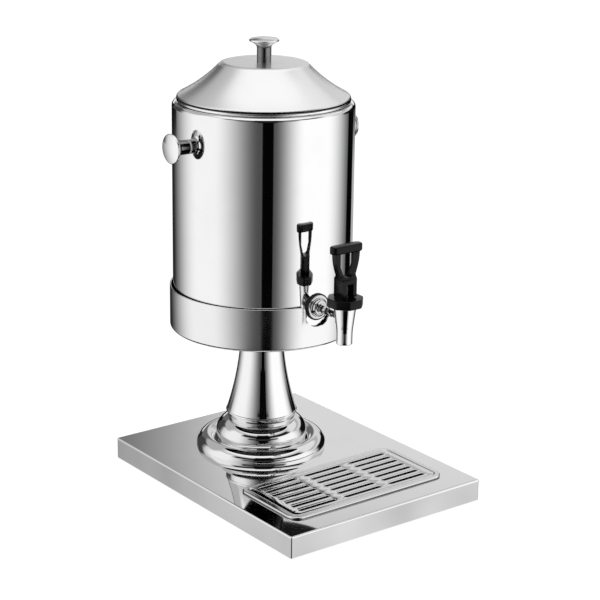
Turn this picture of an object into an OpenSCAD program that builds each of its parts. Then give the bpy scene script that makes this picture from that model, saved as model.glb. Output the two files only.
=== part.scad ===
// Stainless steel milk dispenser: a lidded container in a holder cup on a turned
// pedestal, over a box base with a drip tray, with a lever tap at the front.
// Millimetres. Origin: middle of the base on the floor, +Z up, the tap towards -Y.

/* [Base] */
// Width of the base, across the front
base_w = 270; // [240:1:320]
// Depth of the base, front to back
base_d = 350; // [320:1:400]
// Height of the folded base shell
base_h = 25; // [22:1:40]
// Radius of the base's four upright corners
base_corner_r = 2; // [1.5:0.1:6]
// Thickness of the folded base sheet
base_sheet_t = 1.2; // [0.8:0.1:2]
// Distance from the rear edge of the base to the pedestal's axis
axis_from_rear = 110.5; // [109:0.5:125]
// How far the underplate is recessed above the shell's lower edge
underplate_recess = 2; // [1:0.1:4]
// Thickness of the underplate
underplate_t = 1.5; // [1:0.1:3]
// Distance from the base's edges to the centres of the feet
foot_inset = 22; // [18:1:30]
// Diameter of a rubber foot
foot_d = 20; // [16:0.5:26]
// How far the feet stand out below the shell
foot_drop = 1.5; // [1:0.1:4]
// Shank diameter of the foot screws
foot_screw_d = 4; // [3:0.5:5]
// Diameter of a welded standoff under the top sheet
standoff_d = 9; // [8:0.5:12]
// Diameter of the stiffening disc under the pedestal
backing_d = 120; // [90:1:140]
// Thickness of the stiffening disc
backing_t = 3; // [2:0.5:5]

/* [Drip tray and grille] */
// Width of the tray over its rim
tray_w = 217; // [180:1:230]
// Depth of the tray over its rim
tray_d = 106; // [96:1:112]
// Corner radius of the tray's rim
tray_corner_r = 14; // [12:0.5:20]
// Width of the raised rim
tray_rim_w = 6.5; // [5:0.1:9]
// Height of the rim above the base
tray_rim_h = 2.7; // [2.5:0.1:4]
// How far the tray reaches below the top of the base
tray_depth = 16; // [10:0.5:17]
// Wall of the pressed tray
tray_wall = 1; // [0.8:0.1:1.5]
// Distance from the pedestal's axis to the middle of the tray
tray_from_axis = 157; // [155:0.5:165]
// Width of the ledge that the grille rests on
tray_ledge_w = 2.5; // [2:0.1:4]
// Thickness of the grille
grille_t = 2; // [1.5:0.1:2.5]
// Number of slot columns in the grille
slot_cols = 3; // [1:1:3]
// Number of slot rows in the grille
slot_rows = 7; // [1:1:7]
// Length of a slot, over its round ends
slot_len = 52; // [30:1:54]
// Width of a slot
slot_w = 5; // [3:0.1:7]
// Distance between slot columns
slot_col_pitch = 64.3; // [60:0.1:66]
// Distance between slot rows
slot_row_pitch = 12.2; // [10:0.1:13]

/* [Pedestal] */
// Largest radius of the lower ring
big_ring_r = 77.4; // [74:0.1:82]
// Radius of the lower ring's rounded section
big_ring_round = 13; // [9:0.1:14]
// Depth of the seat below the lower ring's crest
big_ring_dip = 1.7; // [1:0.1:2.5]
// Height of the seat that the upper ring stands on, above the base
big_ring_seat_h = 12; // [11:0.1:13]
// Largest radius of the upper ring
small_ring_r = 54.3; // [52:0.1:58]
// Radius of the upper ring's rounded section
small_ring_round = 18; // [17:0.1:19]
// Height of the upper ring's section centre above its seat
small_ring_mid_h = 4.2; // [4:0.1:6]
// Height of the column's foot above the upper ring's seat
column_seat_h = 29.5; // [28:0.1:32]
// Radius of the column's foot
column_foot_r = 42.3; // [40.5:0.1:43]
// Radius of the column's top
column_top_r = 24.8; // [23:0.1:27]
// Height of the column
column_h = 108.3; // [90:0.1:130]
// Wall of the spun pedestal parts
pedestal_wall = 1.6; // [1.2:0.1:2.5]
// Diameter of the tie rod
tie_rod_d = 10; // [8:0.5:12]

/* [Holder cup] */
// Outer radius of the cup
cup_r = 108.2; // [107.6:0.1:109]
// Height of the cup
cup_h = 50.2; // [46:0.1:56]
// Wall of the cup
cup_wall = 1.6; // [1.2:0.1:2]
// Half the width of the notch for the tap
notch_half_w = 18; // [17:0.1:22]
// Height of the notch's lowest point above the cup's underside
notch_floor_h = 24.5; // [21:0.1:26]
// Radius of the notch's flared upper corners
notch_flare_r = 5; // [3:0.1:7]
// Radius of the cooling pack
pack_r = 100; // [80:1:104]
// Thickness of the cooling pack
pack_h = 14; // [8:0.1:18]

/* [Milk container] */
// Outer radius of the container
can_r = 104.5; // [103:0.1:105.4]
// Height of the container
can_h = 250; // [220:1:300]
// Wall of the container
can_wall = 1.2; // [0.8:0.1:1.6]
// Radius of the rounded shoulder at the rim
can_shoulder_r = 5; // [4:0.1:6]
// Radius of the rounded edge at the bottom
can_heel_r = 3; // [2:0.1:8]
// Radius of the mouth
mouth_r = 94; // [88:0.1:95]
// Height of the side knobs below the rim
side_knob_drop = 41; // [36:1:60]

/* [Lid] */
// Largest radius of the lid
lid_r = 99.3; // [98.5:0.1:100]
// Height of the lid's edge bead
lid_bead_h = 3.6; // [2.5:0.1:4]
// Radius of the rounding above the bead
lid_edge_round = 4.1; // [3:0.1:9]
// Slope of the lid above its edge, in degrees
lid_low_slope = 27.5; // [25:0.5:35]
// Slope of the lid below its top, in degrees
lid_high_slope = 46; // [40:0.5:50]
// Radius of the lid's hollow flank
lid_flank_r = 175; // [150:1:215]
// Radius of the rounding at the lid's top
lid_top_round = 10.4; // [8:0.1:14]
// Wall of the lid
lid_wall = 1.2; // [0.8:0.1:1.5]
// Depth of the lid's locating skirt
lid_skirt_h = 10; // [6:0.5:16]
// Gap between the skirt and the container's mouth
lid_skirt_gap = 0.8; // [0.4:0.1:1.5]

/* [Knobs] */
// Diameter of a knob's head
knob_d = 34; // [30:0.1:40]
// Diameter of a knob's neck
knob_neck_d = 16.4; // [14:0.1:18]
// Height of the lid's knob
lid_knob_h = 27.5; // [22:0.1:32]
// Height of a side knob
side_knob_h = 24.5; // [19:0.1:26]
// Thickness of a knob's head at its rim
knob_rim_t = 2.6; // [2:0.1:4]
// Height of the flare under a knob's head
knob_flare_h = 8; // [6:0.1:10]
// Shank diameter of the knob screws
knob_screw_d = 4; // [3:0.5:5]

/* [Tap] */
// Distance from the container's axis to the tap's axis
tap_reach = 154.5; // [152:0.5:165]
// Height of the tap's shank above the container's underside
tap_above_floor = 31.5; // [29:0.1:34]
// Diameter of the shank
shank_d = 10; // [9:0.1:12]
// Bore of the shank
shank_bore_d = 6.5; // [5:0.1:7]
// Diameter of the tap's flange
flange_d = 28; // [26:0.1:30]
// Diameter of the outer gasket
gasket_d = 31; // [30:0.1:32]
// Diameter of the tap's body under the collar
tap_body_d = 25.8; // [24:0.1:27]
// Diameter of the spout
spout_d = 18.3; // [16.5:0.1:19]
// Height of the tap's body under the collar
tap_body_h = 44; // [40:0.5:50]
// Height of the taper between the body and the spout
tap_taper_h = 29.5; // [27:0.1:32]
// Height of the collar's underside above the shank's axis
collar_above_shank = 14; // [13:0.1:16]
// Width of the collar across its flats
collar_flats = 38.8; // [34:0.1:42]
// Height of the collar
collar_h = 10; // [9:0.1:12]

/* [Lever] */
// Width and depth of the lever's hub
hub_w = 18; // [17.6:0.1:20]
// Height of the hub above the collar
hub_h = 20; // [18:0.1:24]
// Height of the pin above the lever's foot
pin_above_foot = 8.5; // [7.5:0.1:8.8]
// Lift of the valve per radian of lever movement
lift_per_rad = 4.2; // [3.5:0.1:4.4]
// Largest tilt of the lever, in degrees
lever_tilt = 30; // [20:1:30]
// Diameter of the lever's pin
pin_d = 3; // [2.5:0.1:4]
// Width of the lever's blade under the bar
blade_w = 33; // [30:0.1:38]
// Thickness of the blade under the bar
blade_t = 7.6; // [5:0.1:8]
// Height of the blade between hub and bar
blade_h = 31; // [28:0.1:36]
// Height over which the hub thins into the blade
hub_taper_h = 6.5; // [4:0.1:14]
// How far the blade and the bar stand behind the lever's pin
blade_set_back = 0; // [0:0.1:6]
// Width of the finger hole
finger_w = 20.5; // [16:0.1:22]
// Height of the finger hole
finger_h = 32.5; // [22:0.1:34]
// Length of the bar on top of the lever
bar_l = 42; // [36:0.1:44]
// Depth of the bar
bar_d = 12; // [10:0.1:14]
// Height of the bar
bar_h = 9; // [7:0.1:12]

/* [Valve] */
// Diameter of the valve's stem
stem_d = 8; // [7:0.1:8.4]
// Radius of the valve chamber
chamber_r = 7.5; // [7:0.1:8]
// Radius of the silicone seat cup
seat_cup_r = 6.3; // [5.8:0.1:6.6]
// Height of the seat cup
seat_cup_h = 5; // [4:0.1:5.2]
// Wire diameter of the return spring
spring_wire_d = 1; // [0.8:0.1:1.1]
// Turns of the return spring
spring_turns = 5; // [3:1:6]

/* [Hidden] */

$fn = 96;
fine_fn = 180;
small_fn = 48;
overrun = 1;
seat_gap = 0.3;
round_gap = 0.3;
bolt_gap = 0.1;
running_gap = 0.05;
saddle_gap = 0.05;
saddle_fn = 360;

steel = [0.82, 0.83, 0.84];
satin_steel = [0.86, 0.86, 0.86];
dark_steel = [0.55, 0.56, 0.58];
black_plastic = [0.08, 0.08, 0.085];
black_rubber = [0.05, 0.05, 0.05];
clear_silicone = [0.75, 0.78, 0.8];
pack_blue = [0.35, 0.55, 0.75];

// Heights of the stack, from the floor up
shell_z = foot_drop;
base_top_z = shell_z + base_h;
underplate_z = shell_z + underplate_recess;
underplate_top_z = underplate_z + underplate_t;
sheet_under_z = base_top_z - base_sheet_t;
upper_ring_z = base_top_z + big_ring_seat_h;
column_z = upper_ring_z + column_seat_h;
cup_z = column_z + column_h;
cup_floor_z = cup_z + cup_wall;
can_z = cup_floor_z + pack_h + seat_gap;
can_rim_z = can_z + can_h;
lid_z = can_rim_z + seat_gap;
axis_y = base_d / 2 - axis_from_rear;

// Feet, underplate and their screws
foot_x = base_w / 2 - foot_inset;
foot_y = base_d / 2 - foot_inset;
foot_places = [for (x = [-foot_x, foot_x]) for (y = [-foot_y, foot_y]) [x, y]];
foot_screw_head_d = 2 * foot_screw_d;
foot_screw_head_h = 0.45 * underplate_z;
foot_screw_grip = 2.5 * foot_screw_d;
foot_screw_bottom_z = 0.3 * underplate_z;
foot_screw_top_z = underplate_top_z + foot_screw_grip;
underplate_gap = 0.4;

// Tie rod and its nuts
tie_nut_flats = 1.7 * tie_rod_d;
tie_nut_h = 0.8 * tie_rod_d;
tie_washer_d = 2.4 * tie_rod_d;
tie_washer_t = 0.2 * tie_rod_d;
tie_rod_tail = 0.2 * tie_rod_d;
tie_hole_d = tie_rod_d + 2 * bolt_gap;
tie_low_nut_z = sheet_under_z - backing_t - tie_washer_t - tie_nut_h;
tie_top_z = cup_floor_z + tie_washer_t + tie_nut_h + tie_rod_tail / 2;

// Tray and grille
tray_y = axis_y - tray_from_axis;
tray_rim_z = base_top_z + seat_gap;
tray_top_z = tray_rim_z + tray_rim_h;
tray_floor_z = base_top_z - tray_depth;
tray_well_w = tray_w - 2 * tray_rim_w;
tray_well_d = tray_d - 2 * tray_rim_w;
tray_well_r = tray_corner_r - tray_rim_w;
tray_hole_gap = 1;
tray_hole_rim = tray_wall + tray_hole_gap;
tray_ledge_z = tray_top_z - grille_t - seat_gap;
tray_basin_w = tray_well_w - 2 * tray_ledge_w;
tray_basin_d = tray_well_d - 2 * tray_ledge_w;
tray_basin_r = tray_well_r - tray_ledge_w;
grille_gap = 0.5;

// Pedestal outlines
ring_steps = 20;
column_steps = 14;
lower_ring_mid_r = big_ring_r - big_ring_round;
lower_ring_mid_h = big_ring_seat_h + big_ring_dip - big_ring_round;
lower_ring_mid_z = base_top_z + lower_ring_mid_h;
lower_ring_foot_a = -asin(lower_ring_mid_h / big_ring_round);
lower_ring_end_a = 180 - asin((big_ring_seat_h - lower_ring_mid_h) / big_ring_round);
upper_ring_mid_r = small_ring_r - small_ring_round;
upper_ring_mid_z = upper_ring_z + small_ring_mid_h;
upper_ring_foot_a = -asin(small_ring_mid_h / small_ring_round);
upper_ring_top_a = 80;
column_foot_bead_r = 1.5;
neck_r = column_foot_r - column_foot_bead_r - round_gap;
spigot_h = 2 * pedestal_wall;
column_socket_r = column_foot_r - pedestal_wall - column_foot_bead_r;
column_first_r = column_r(1 / column_steps);
column_socket_lean = (column_socket_r + pedestal_wall - column_first_r) * column_steps / column_h;
spigot_r = column_socket_r - column_socket_lean * spigot_h - round_gap;

// Container and its fittings
tap_z = can_z + tap_above_floor;
tap_y = axis_y - tap_reach;
side_knob_z = can_rim_z - side_knob_drop;
knob_seal_d = knob_neck_d;
knob_seal_t = 1;
knob_washer_d = 3 * knob_screw_d;
knob_washer_t = 0.25 * knob_screw_d;
knob_screw_head_d = 1.9 * knob_screw_d;
knob_screw_head_h = 0.6 * knob_screw_d;
knob_screw_bite = 2.5 * knob_screw_d;
knob_hole_d = knob_screw_d + 2 * bolt_gap;
knob_hole_depth = knob_screw_bite + knob_screw_d / 4;

// Lid outline, worked out from its edge to its top
lid_edge_mid_r = lid_r - lid_edge_round;
lid_edge_mid_z = lid_z + lid_bead_h;
lid_low_r = lid_edge_mid_r + lid_edge_round * sin(lid_low_slope);
lid_low_z = lid_edge_mid_z + lid_edge_round * cos(lid_low_slope);
lid_flank_mid_r = lid_low_r + lid_flank_r * sin(lid_low_slope);
lid_flank_mid_z = lid_low_z + lid_flank_r * cos(lid_low_slope);
lid_high_r = lid_flank_mid_r - lid_flank_r * sin(lid_high_slope);
lid_high_z = lid_flank_mid_z - lid_flank_r * cos(lid_high_slope);
lid_top_mid_r = lid_high_r - lid_top_round * sin(lid_high_slope);
lid_top_mid_z = lid_high_z - lid_top_round * cos(lid_high_slope);
lid_top_z = lid_top_mid_z + lid_top_round;
lid_skirt_r = mouth_r - lid_skirt_gap;
lid_bead_dip = 0.6;

// Tap: heights of its body, collar and lever
collar_z = tap_z + collar_above_shank;
collar_top_z = collar_z + collar_h;
spout_z = collar_z - tap_body_h;
taper_z = collar_z - tap_taper_h;
spigot_top_z = collar_z + 0.6 * collar_h;
collar_web_z = spigot_top_z + seat_gap;
seat_z = tap_z - shank_bore_d / 2 - seat_cup_h - 1.2 * lift_per_rad;
seat_hole_r = 0.6 * seat_cup_r;
outlet_r = 0.72 * spout_d / 2;
outlet_top_z = seat_z - 0.4 * seat_cup_h;
stem_tip_z = seat_z + seat_gap + 0.3 * seat_cup_h;
stem_neck_r = 0.28 * stem_d;
stem_collar_z = seat_z + seat_gap + seat_cup_h;
stem_collar_h = 0.2 * stem_d;
stem_shoulder_z = collar_web_z - 1.2 * lift_per_rad;
pin_z = collar_top_z + seat_gap + pin_above_foot;
stem_top_z = pin_z + 0.55 * stem_d;
spring_low_z = stem_collar_z + stem_collar_h;
spring_mid_r = (stem_d / 2 + chamber_r) / 2;
spring_sides = 8;
spring_rings_per_turn = 12;

// Flange, gaskets and nut on the shank, measured outwards along -Y
gasket_t = 1.6;
gasket_face = can_r + gasket_t;
flange_t = 1.4;
flange_step_h = 3;
flange_step_d = 0.72 * flange_d;
flange_nose_h = 2.2;
flange_nose_d = 1.6 * shank_d;
inner_gasket_d = 2.2 * shank_d;
inner_gasket_t = 2;
inner_gasket_face = can_r - can_wall - inner_gasket_t;
shank_nut_flats = 1.7 * shank_d;
shank_nut_h = 0.6 * shank_d;
shank_tail = 0.2 * shank_d;
shank_hole_d = shank_d + 2 * bolt_gap;
wall_hole_d = shank_d + 4 * bolt_gap;

// Lever outline
foot_bottom_z = collar_top_z + seat_gap;
hub_top_z = foot_bottom_z + hub_h;
bar_z = hub_top_z + blade_h;
slot_clear = 0.4;
lever_slot_w = stem_d + 2 * slot_clear;
lever_slot_back = (stem_top_z - pin_z) * tan(lever_tilt) + stem_d / 2 / cos(lever_tilt) + slot_clear;
lever_slot_h = (stem_top_z - pin_z) / cos(lever_tilt) + stem_d / 2 * tan(lever_tilt) + slot_clear;
lever_slot_top_z = pin_z + lever_slot_h;
pin_l = hub_w - 2 * slot_clear;
foot_steps = 10;
blade_steps = 10;
finger_top_z = bar_z;

// Points on an arc in a plane, from angle a to angle b
function arc(cx, cy, r, a, b, steps) =
    [for (i = [0:steps]) let (t = a + (b - a) * i / steps) [cx + r * cos(t), cy + r * sin(t)]];

// Smooth step from 0 to 1
function ease(t) = t * t * (3 - 2 * t);

// The lid's outline from its edge to its top, moved inwards by d
function lid_line(d) = concat(
    arc(lid_edge_mid_r, lid_edge_mid_z, lid_edge_round - d, 0, 90 - lid_low_slope, 8),
    arc(lid_flank_mid_r, lid_flank_mid_z, lid_flank_r + d, 270 - lid_low_slope, 270 - lid_high_slope, 12),
    arc(lid_top_mid_r, lid_top_mid_z, lid_top_round - d, 90 - lid_high_slope, 90, 8));

// Radius of the column at share t of its height, a bell that hollows in
function column_r(t) = column_top_r + (column_foot_r - column_top_r) * pow(1 - t, 1.98);

// The column's outline from foot to top, moved inwards by d
function column_line(d) =
    [for (i = [0:column_steps]) let (t = i / column_steps) [column_r(t) - d, column_z + column_h * t]];

// A point of the lever's rolling foot after a turn of a degrees: depth, height from the pin
function foot_point(a) =
    let (h = pin_above_foot + lift_per_rad * a * PI / 180)
    [-h * sin(a) - lift_per_rad * cos(a), -h * cos(a) + lift_per_rad * sin(a)];

// A rectangle with round corners, centred
module round_rect(w, d, r) {
    square([w - 2 * r, d], center = true);
    square([w, d - 2 * r], center = true);
    for (x = [-1, 1]) for (y = [-1, 1])
        translate([x * (w / 2 - r), y * (d / 2 - r)]) circle(r);
}

// Places its children on the pedestal's axis
module on_axis() {
    translate([0, axis_y, 0]) children();
}

// Turned solid from an outline of radius and height
module turned(points) {
    rotate_extrude($fn = fine_fn) polygon(points);
}

// Drum between two heights
module drum(r, z0, z1) {
    translate([0, 0, z0]) cylinder(r = r, h = z1 - z0);
}

// The container's wall as a solid drum of radius r, to shape what seats on it
module wall_drum(r) {
    on_axis() drum(r, can_z, can_rim_z, $fn = saddle_fn);
}

// Drum that lies along -Y from the container's axis, between two distances
module front_drum(d, y0, y1) {
    translate([0, axis_y - y0, tap_z]) rotate([90, 0, 0]) cylinder(d = d, h = y1 - y0);
}

// Drum that lies along X from the container's axis, between two distances
module side_drum(side, d, x0, x1) {
    translate([side * x0, axis_y, side_knob_z]) rotate([0, side * 90, 0]) cylinder(d = d, h = x1 - x0);
}

// Hexagon nut blank with its corners along X
module hex_blank(flats, h) {
    cylinder(d = flats / cos(30), h = h, $fn = 6);
}

module base_shell() {
    color(satin_steel) difference() {
        translate([0, 0, shell_z]) linear_extrude(base_h) round_rect(base_w, base_d, base_corner_r);
        translate([0, 0, shell_z - overrun]) linear_extrude(base_h - base_sheet_t + overrun)
            round_rect(base_w - 2 * base_sheet_t, base_d - 2 * base_sheet_t, base_corner_r - base_sheet_t);
        translate([0, tray_y, sheet_under_z - overrun]) linear_extrude(base_sheet_t + 2 * overrun)
            round_rect(tray_well_w + 2 * tray_hole_rim, tray_well_d + 2 * tray_hole_rim,
                tray_well_r + tray_hole_rim);
        on_axis() drum(tie_hole_d / 2, sheet_under_z - overrun, base_top_z + overrun);
    }
}

module base_backing_disc() {
    color(dark_steel) on_axis() difference() {
        drum(backing_d / 2, sheet_under_z - backing_t, sheet_under_z);
        drum(tie_hole_d / 2, sheet_under_z - backing_t - overrun, sheet_under_z + overrun);
    }
}

module base_standoffs() {
    color(dark_steel) for (p = foot_places) translate(p) difference() {
        drum(standoff_d / 2, underplate_top_z, sheet_under_z);
        drum(foot_screw_d / 2 + bolt_gap, underplate_top_z - overrun, foot_screw_top_z + bolt_gap);
    }
}

module base_underplate() {
    inset = base_sheet_t + underplate_gap;
    color(dark_steel) difference() {
        translate([0, 0, underplate_z]) linear_extrude(underplate_t)
            square([base_w - 2 * inset, base_d - 2 * inset], center = true);
        for (p = foot_places) translate(p)
            drum(foot_screw_d / 2 + bolt_gap, underplate_z - overrun, underplate_top_z + overrun);
    }
}

module rubber_feet() {
    color(black_rubber) for (p = foot_places) translate(p) difference() {
        union() {
            cylinder(d1 = foot_d - foot_drop, d2 = foot_d, h = foot_drop);
            drum(foot_d / 2, foot_drop, underplate_z);
        }
        drum(foot_screw_d / 2 + bolt_gap, 0, underplate_z + overrun);
        drum(foot_screw_head_d / 2 + bolt_gap, -overrun, foot_screw_bottom_z + foot_screw_head_h);
    }
}

module foot_screws() {
    color(steel) for (p = foot_places) translate(p) {
        drum(foot_screw_head_d / 2, foot_screw_bottom_z, foot_screw_bottom_z + foot_screw_head_h);
        drum(foot_screw_d / 2, foot_screw_bottom_z, foot_screw_top_z);
    }
}

module pedestal_lower_ring() {
    outer = arc(lower_ring_mid_r, lower_ring_mid_z, big_ring_round,
        lower_ring_foot_a, lower_ring_end_a, ring_steps);
    inner_round = big_ring_round - pedestal_wall;
    inner_top_a = 180 - asin((big_ring_seat_h - lower_ring_mid_h - pedestal_wall) / inner_round);
    inner = arc(lower_ring_mid_r, lower_ring_mid_z, inner_round,
        inner_top_a, -asin(lower_ring_mid_h / inner_round), ring_steps);
    color(steel) on_axis() turned(concat(
        outer,
        [[tie_hole_d / 2, upper_ring_z], [tie_hole_d / 2, upper_ring_z - pedestal_wall]],
        inner));
}

module pedestal_upper_ring() {
    outer = arc(upper_ring_mid_r, upper_ring_mid_z, small_ring_round,
        upper_ring_foot_a, upper_ring_top_a, ring_steps);
    inner_round = small_ring_round - pedestal_wall;
    inner_top_a = acos((small_ring_round * cos(upper_ring_top_a) - pedestal_wall) / inner_round);
    inner = arc(upper_ring_mid_r, upper_ring_mid_z, inner_round, inner_top_a,
        -asin(small_ring_mid_h / inner_round), ring_steps);
    color(steel) on_axis() turned(concat(
        outer,
        [[neck_r, column_z], [spigot_r, column_z], [spigot_r, column_z + spigot_h],
            [tie_hole_d / 2, column_z + spigot_h], [tie_hole_d / 2, column_z + spigot_h - pedestal_wall],
            [spigot_r - pedestal_wall, column_z + spigot_h - pedestal_wall],
            [spigot_r - pedestal_wall, column_z - pedestal_wall],
            [neck_r - pedestal_wall, column_z - pedestal_wall]],
        inner));
}

module pedestal_column() {
    foot = arc(column_foot_r - column_foot_bead_r, column_z + column_foot_bead_r,
        column_foot_bead_r, -90, 45, 6);
    outer = [for (p = column_line(0)) if (p[1] > column_z + 3 * column_foot_bead_r) p];
    inner = [for (p = column_line(pedestal_wall))
        if (p[1] > column_z + 3 * column_foot_bead_r && p[1] < cup_z - pedestal_wall) p];
    count = len(inner);
    color(steel) on_axis() turned(concat(
        foot, outer,
        [[tie_hole_d / 2, cup_z], [tie_hole_d / 2, cup_z - 2 * pedestal_wall],
            [column_top_r - pedestal_wall, cup_z - 2 * pedestal_wall]],
        [for (i = [1:count]) inner[count - i]],
        [[column_socket_r, column_z]]));
}

module tie_rod() {
    color(dark_steel) on_axis() drum(tie_rod_d / 2, tie_low_nut_z - tie_rod_tail, tie_top_z);
}

module tie_rod_washers() {
    color(steel) on_axis() for (z = [sheet_under_z - backing_t - tie_washer_t, cup_floor_z]) difference() {
        drum(tie_washer_d / 2, z, z + tie_washer_t);
        drum(tie_hole_d / 2, z - overrun, z + tie_washer_t + overrun);
    }
}

module tie_rod_nuts() {
    color(steel) on_axis() for (z = [tie_low_nut_z, cup_floor_z + tie_washer_t]) difference() {
        translate([0, 0, z]) hex_blank(tie_nut_flats, tie_nut_h);
        drum(tie_hole_d / 2, z - overrun, z + tie_nut_h + overrun);
    }
}

// Outline of the notch, as wide as it runs up, with flared corners
module notch_outline() {
    top = cup_h + overrun;
    mid = notch_floor_h + notch_half_w;
    flare_z = cup_h - notch_flare_r;
    translate([0, mid]) circle(notch_half_w);
    translate([-notch_half_w, mid]) square([2 * notch_half_w, top - mid]);
    difference() {
        translate([-notch_half_w - notch_flare_r, flare_z])
            square([2 * (notch_half_w + notch_flare_r), notch_flare_r + overrun]);
        for (s = [-1, 1]) translate([s * (notch_half_w + notch_flare_r), flare_z]) circle(notch_flare_r);
    }
}

module holder_cup() {
    corner_r = 2 * cup_wall;
    color(steel) difference() {
        on_axis() turned(concat(
            arc(cup_r - corner_r, cup_z + corner_r, corner_r, -90, 0, 6),
            [[cup_r, cup_z + cup_h], [cup_r - cup_wall, cup_z + cup_h]],
            arc(cup_r - corner_r, cup_z + corner_r, corner_r - cup_wall, 0, -90, 6),
            [[tie_hole_d / 2, cup_floor_z], [tie_hole_d / 2, cup_z]]));
        translate([0, axis_y - cup_r / 2, cup_z]) rotate([90, 0, 0])
            linear_extrude(cup_r) notch_outline();
    }
}

module cooling_pack() {
    edge_r = 0.2 * pack_h;
    nut_room_r = tie_washer_d / 2 + 2 * round_gap;
    color(pack_blue) on_axis() turned(concat(
        [[nut_room_r, cup_floor_z]],
        arc(pack_r - edge_r, cup_floor_z + edge_r, edge_r, -90, 0, 6),
        arc(pack_r - edge_r, cup_floor_z + pack_h - edge_r, edge_r, 0, 90, 6),
        [[nut_room_r, cup_floor_z + pack_h]]));
}

// The container's drawn shell, moved inwards by d, as a closed turned drum
function can_line(d) = concat(
    [[0, can_z + d]],
    arc(can_r - can_heel_r, can_z + can_heel_r, can_heel_r - d, -90, 0, 8),
    arc(can_r - can_shoulder_r, can_rim_z - can_shoulder_r, can_shoulder_r - d, 0, 90, 8),
    [[0, can_rim_z - d]]);

module milk_container() {
    color(steel) difference() {
        on_axis() difference() {
            turned(can_line(0));
            turned(can_line(can_wall));
            drum(mouth_r, can_rim_z - can_wall - overrun, can_rim_z + overrun);
        }
        front_drum(wall_hole_d, can_r - can_shoulder_r, can_r + overrun);
        for (s = [-1, 1]) side_drum(s, knob_hole_d, can_r - can_shoulder_r, can_r + overrun);
    }
}

// A mushroom knob that stands on the plane z = 0, with a blind hole for its screw
module mushroom_knob(h) {
    head_r = knob_d / 2;
    neck_r0 = knob_neck_d / 2;
    rim_z = h - 1.2 * knob_rim_t;
    edge_r = knob_rim_t / 2;
    flare_z = rim_z - edge_r - knob_flare_h;
    flare = [for (i = [0:10]) let (t = i / 10)
        [neck_r0 + (head_r - edge_r - neck_r0) * pow(t, 2.4), flare_z + knob_flare_h * t]];
    difference() {
        rotate_extrude() polygon(concat(
            [[0, 0], [neck_r0, 0]],
            flare,
            arc(head_r - edge_r, rim_z, edge_r, -60, 60, 6),
            [for (i = [1:8]) let (t = 1 - i / 8)
                [(head_r - edge_r) * t, h - (h - rim_z - edge_r) * t * t]]));
        drum(knob_hole_d / 2, -overrun, knob_hole_depth);
    }
}

// A side knob stands on its seal, out from the container's wall
module side_knob(side) {
    translate([side * (can_r + knob_seal_t), axis_y, side_knob_z]) rotate([0, side * 90, 0])
        mushroom_knob(side_knob_h - knob_seal_t);
}

module side_knob_left() {
    color(steel) side_knob(-1);
}

module side_knob_right() {
    color(steel) side_knob(1);
}

module side_knob_seals() {
    color(clear_silicone) for (s = [-1, 1]) difference() {
        side_drum(s, knob_seal_d, can_r - can_wall, can_r + knob_seal_t);
        wall_drum(can_r + saddle_gap);
        side_drum(s, knob_hole_d, can_r - can_shoulder_r, can_r + knob_seal_t + overrun);
    }
}

module side_knob_washers() {
    inner_r = can_r - can_wall;
    color(steel) for (s = [-1, 1]) difference() {
        intersection() {
            side_drum(s, knob_washer_d, inner_r - knob_washer_t, can_r);
            wall_drum(inner_r - saddle_gap);
        }
        side_drum(s, knob_hole_d, inner_r - knob_washer_t - overrun, can_r);
    }
}

module side_knob_screws() {
    face = can_r - can_wall - knob_washer_t;
    color(steel) for (s = [-1, 1]) {
        side_drum(s, knob_screw_head_d, face - knob_screw_head_h, face);
        side_drum(s, knob_screw_d, face - knob_screw_head_h, can_r + knob_seal_t + knob_screw_bite);
    }
}

module tap_body() {
    body_r = tap_body_d / 2;
    color(steel) difference() {
        union() {
            translate([0, tap_y, 0]) turned([
                [0, taper_z], [spout_d / 2, taper_z],
                [body_r, collar_z], [body_r, spigot_top_z], [0, spigot_top_z]]);
            front_drum(shank_d, inner_gasket_face - shank_nut_h - shank_tail, tap_reach);
        }
        translate([0, tap_y, 0]) {
            drum(chamber_r, seat_z, spigot_top_z + overrun);
            drum(seat_hole_r, outlet_top_z - overrun, seat_z + overrun);
            drum(outlet_r, taper_z - overrun, outlet_top_z);
        }
        front_drum(shank_bore_d, 0, tap_reach);
    }
}

// The spout's tube, brazed to the underside of the tap's body
module tap_spout() {
    spout_r = spout_d / 2;
    lip = 0.06 * spout_d;
    color(steel) translate([0, tap_y, 0]) turned([
        [outlet_r, spout_z], [spout_r - lip, spout_z], [spout_r, spout_z + lip],
        [spout_r, taper_z], [outlet_r, taper_z]]);
}

module tap_flange() {
    color(steel) translate([0, axis_y - gasket_face, tap_z]) rotate([90, 0, 0]) difference() {
        rotate_extrude($fn = small_fn * 2) polygon(concat(
            [[0, 0]],
            [[flange_d / 2, 0], [flange_d / 2, flange_t / 2]],
            arc(flange_d / 2 - flange_t / 2, flange_t / 2, flange_t / 2, 0, 90, 4),
            [[flange_step_d / 2 + flange_t / 2, flange_t]],
            [for (i = [0:8]) let (t = i / 8)
                [flange_step_d / 2 + (flange_nose_d - flange_step_d) / 2 * t,
                    flange_t + flange_step_h * sin(90 * t)]],
            [[flange_nose_d / 2, flange_t + flange_step_h + flange_nose_h / 2],
                [flange_nose_d / 2 - flange_nose_h / 2, flange_t + flange_step_h + flange_nose_h],
                [0, flange_t + flange_step_h + flange_nose_h]]));
        translate([0, 0, -overrun]) cylinder(d = shank_hole_d, h = can_r);
    }
}

module tap_outer_gasket() {
    color(black_rubber) difference() {
        front_drum(gasket_d, can_r - can_shoulder_r, gasket_face);
        wall_drum(can_r + saddle_gap);
        front_drum(shank_hole_d, can_r - can_shoulder_r - overrun, gasket_face + overrun);
    }
}

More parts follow.
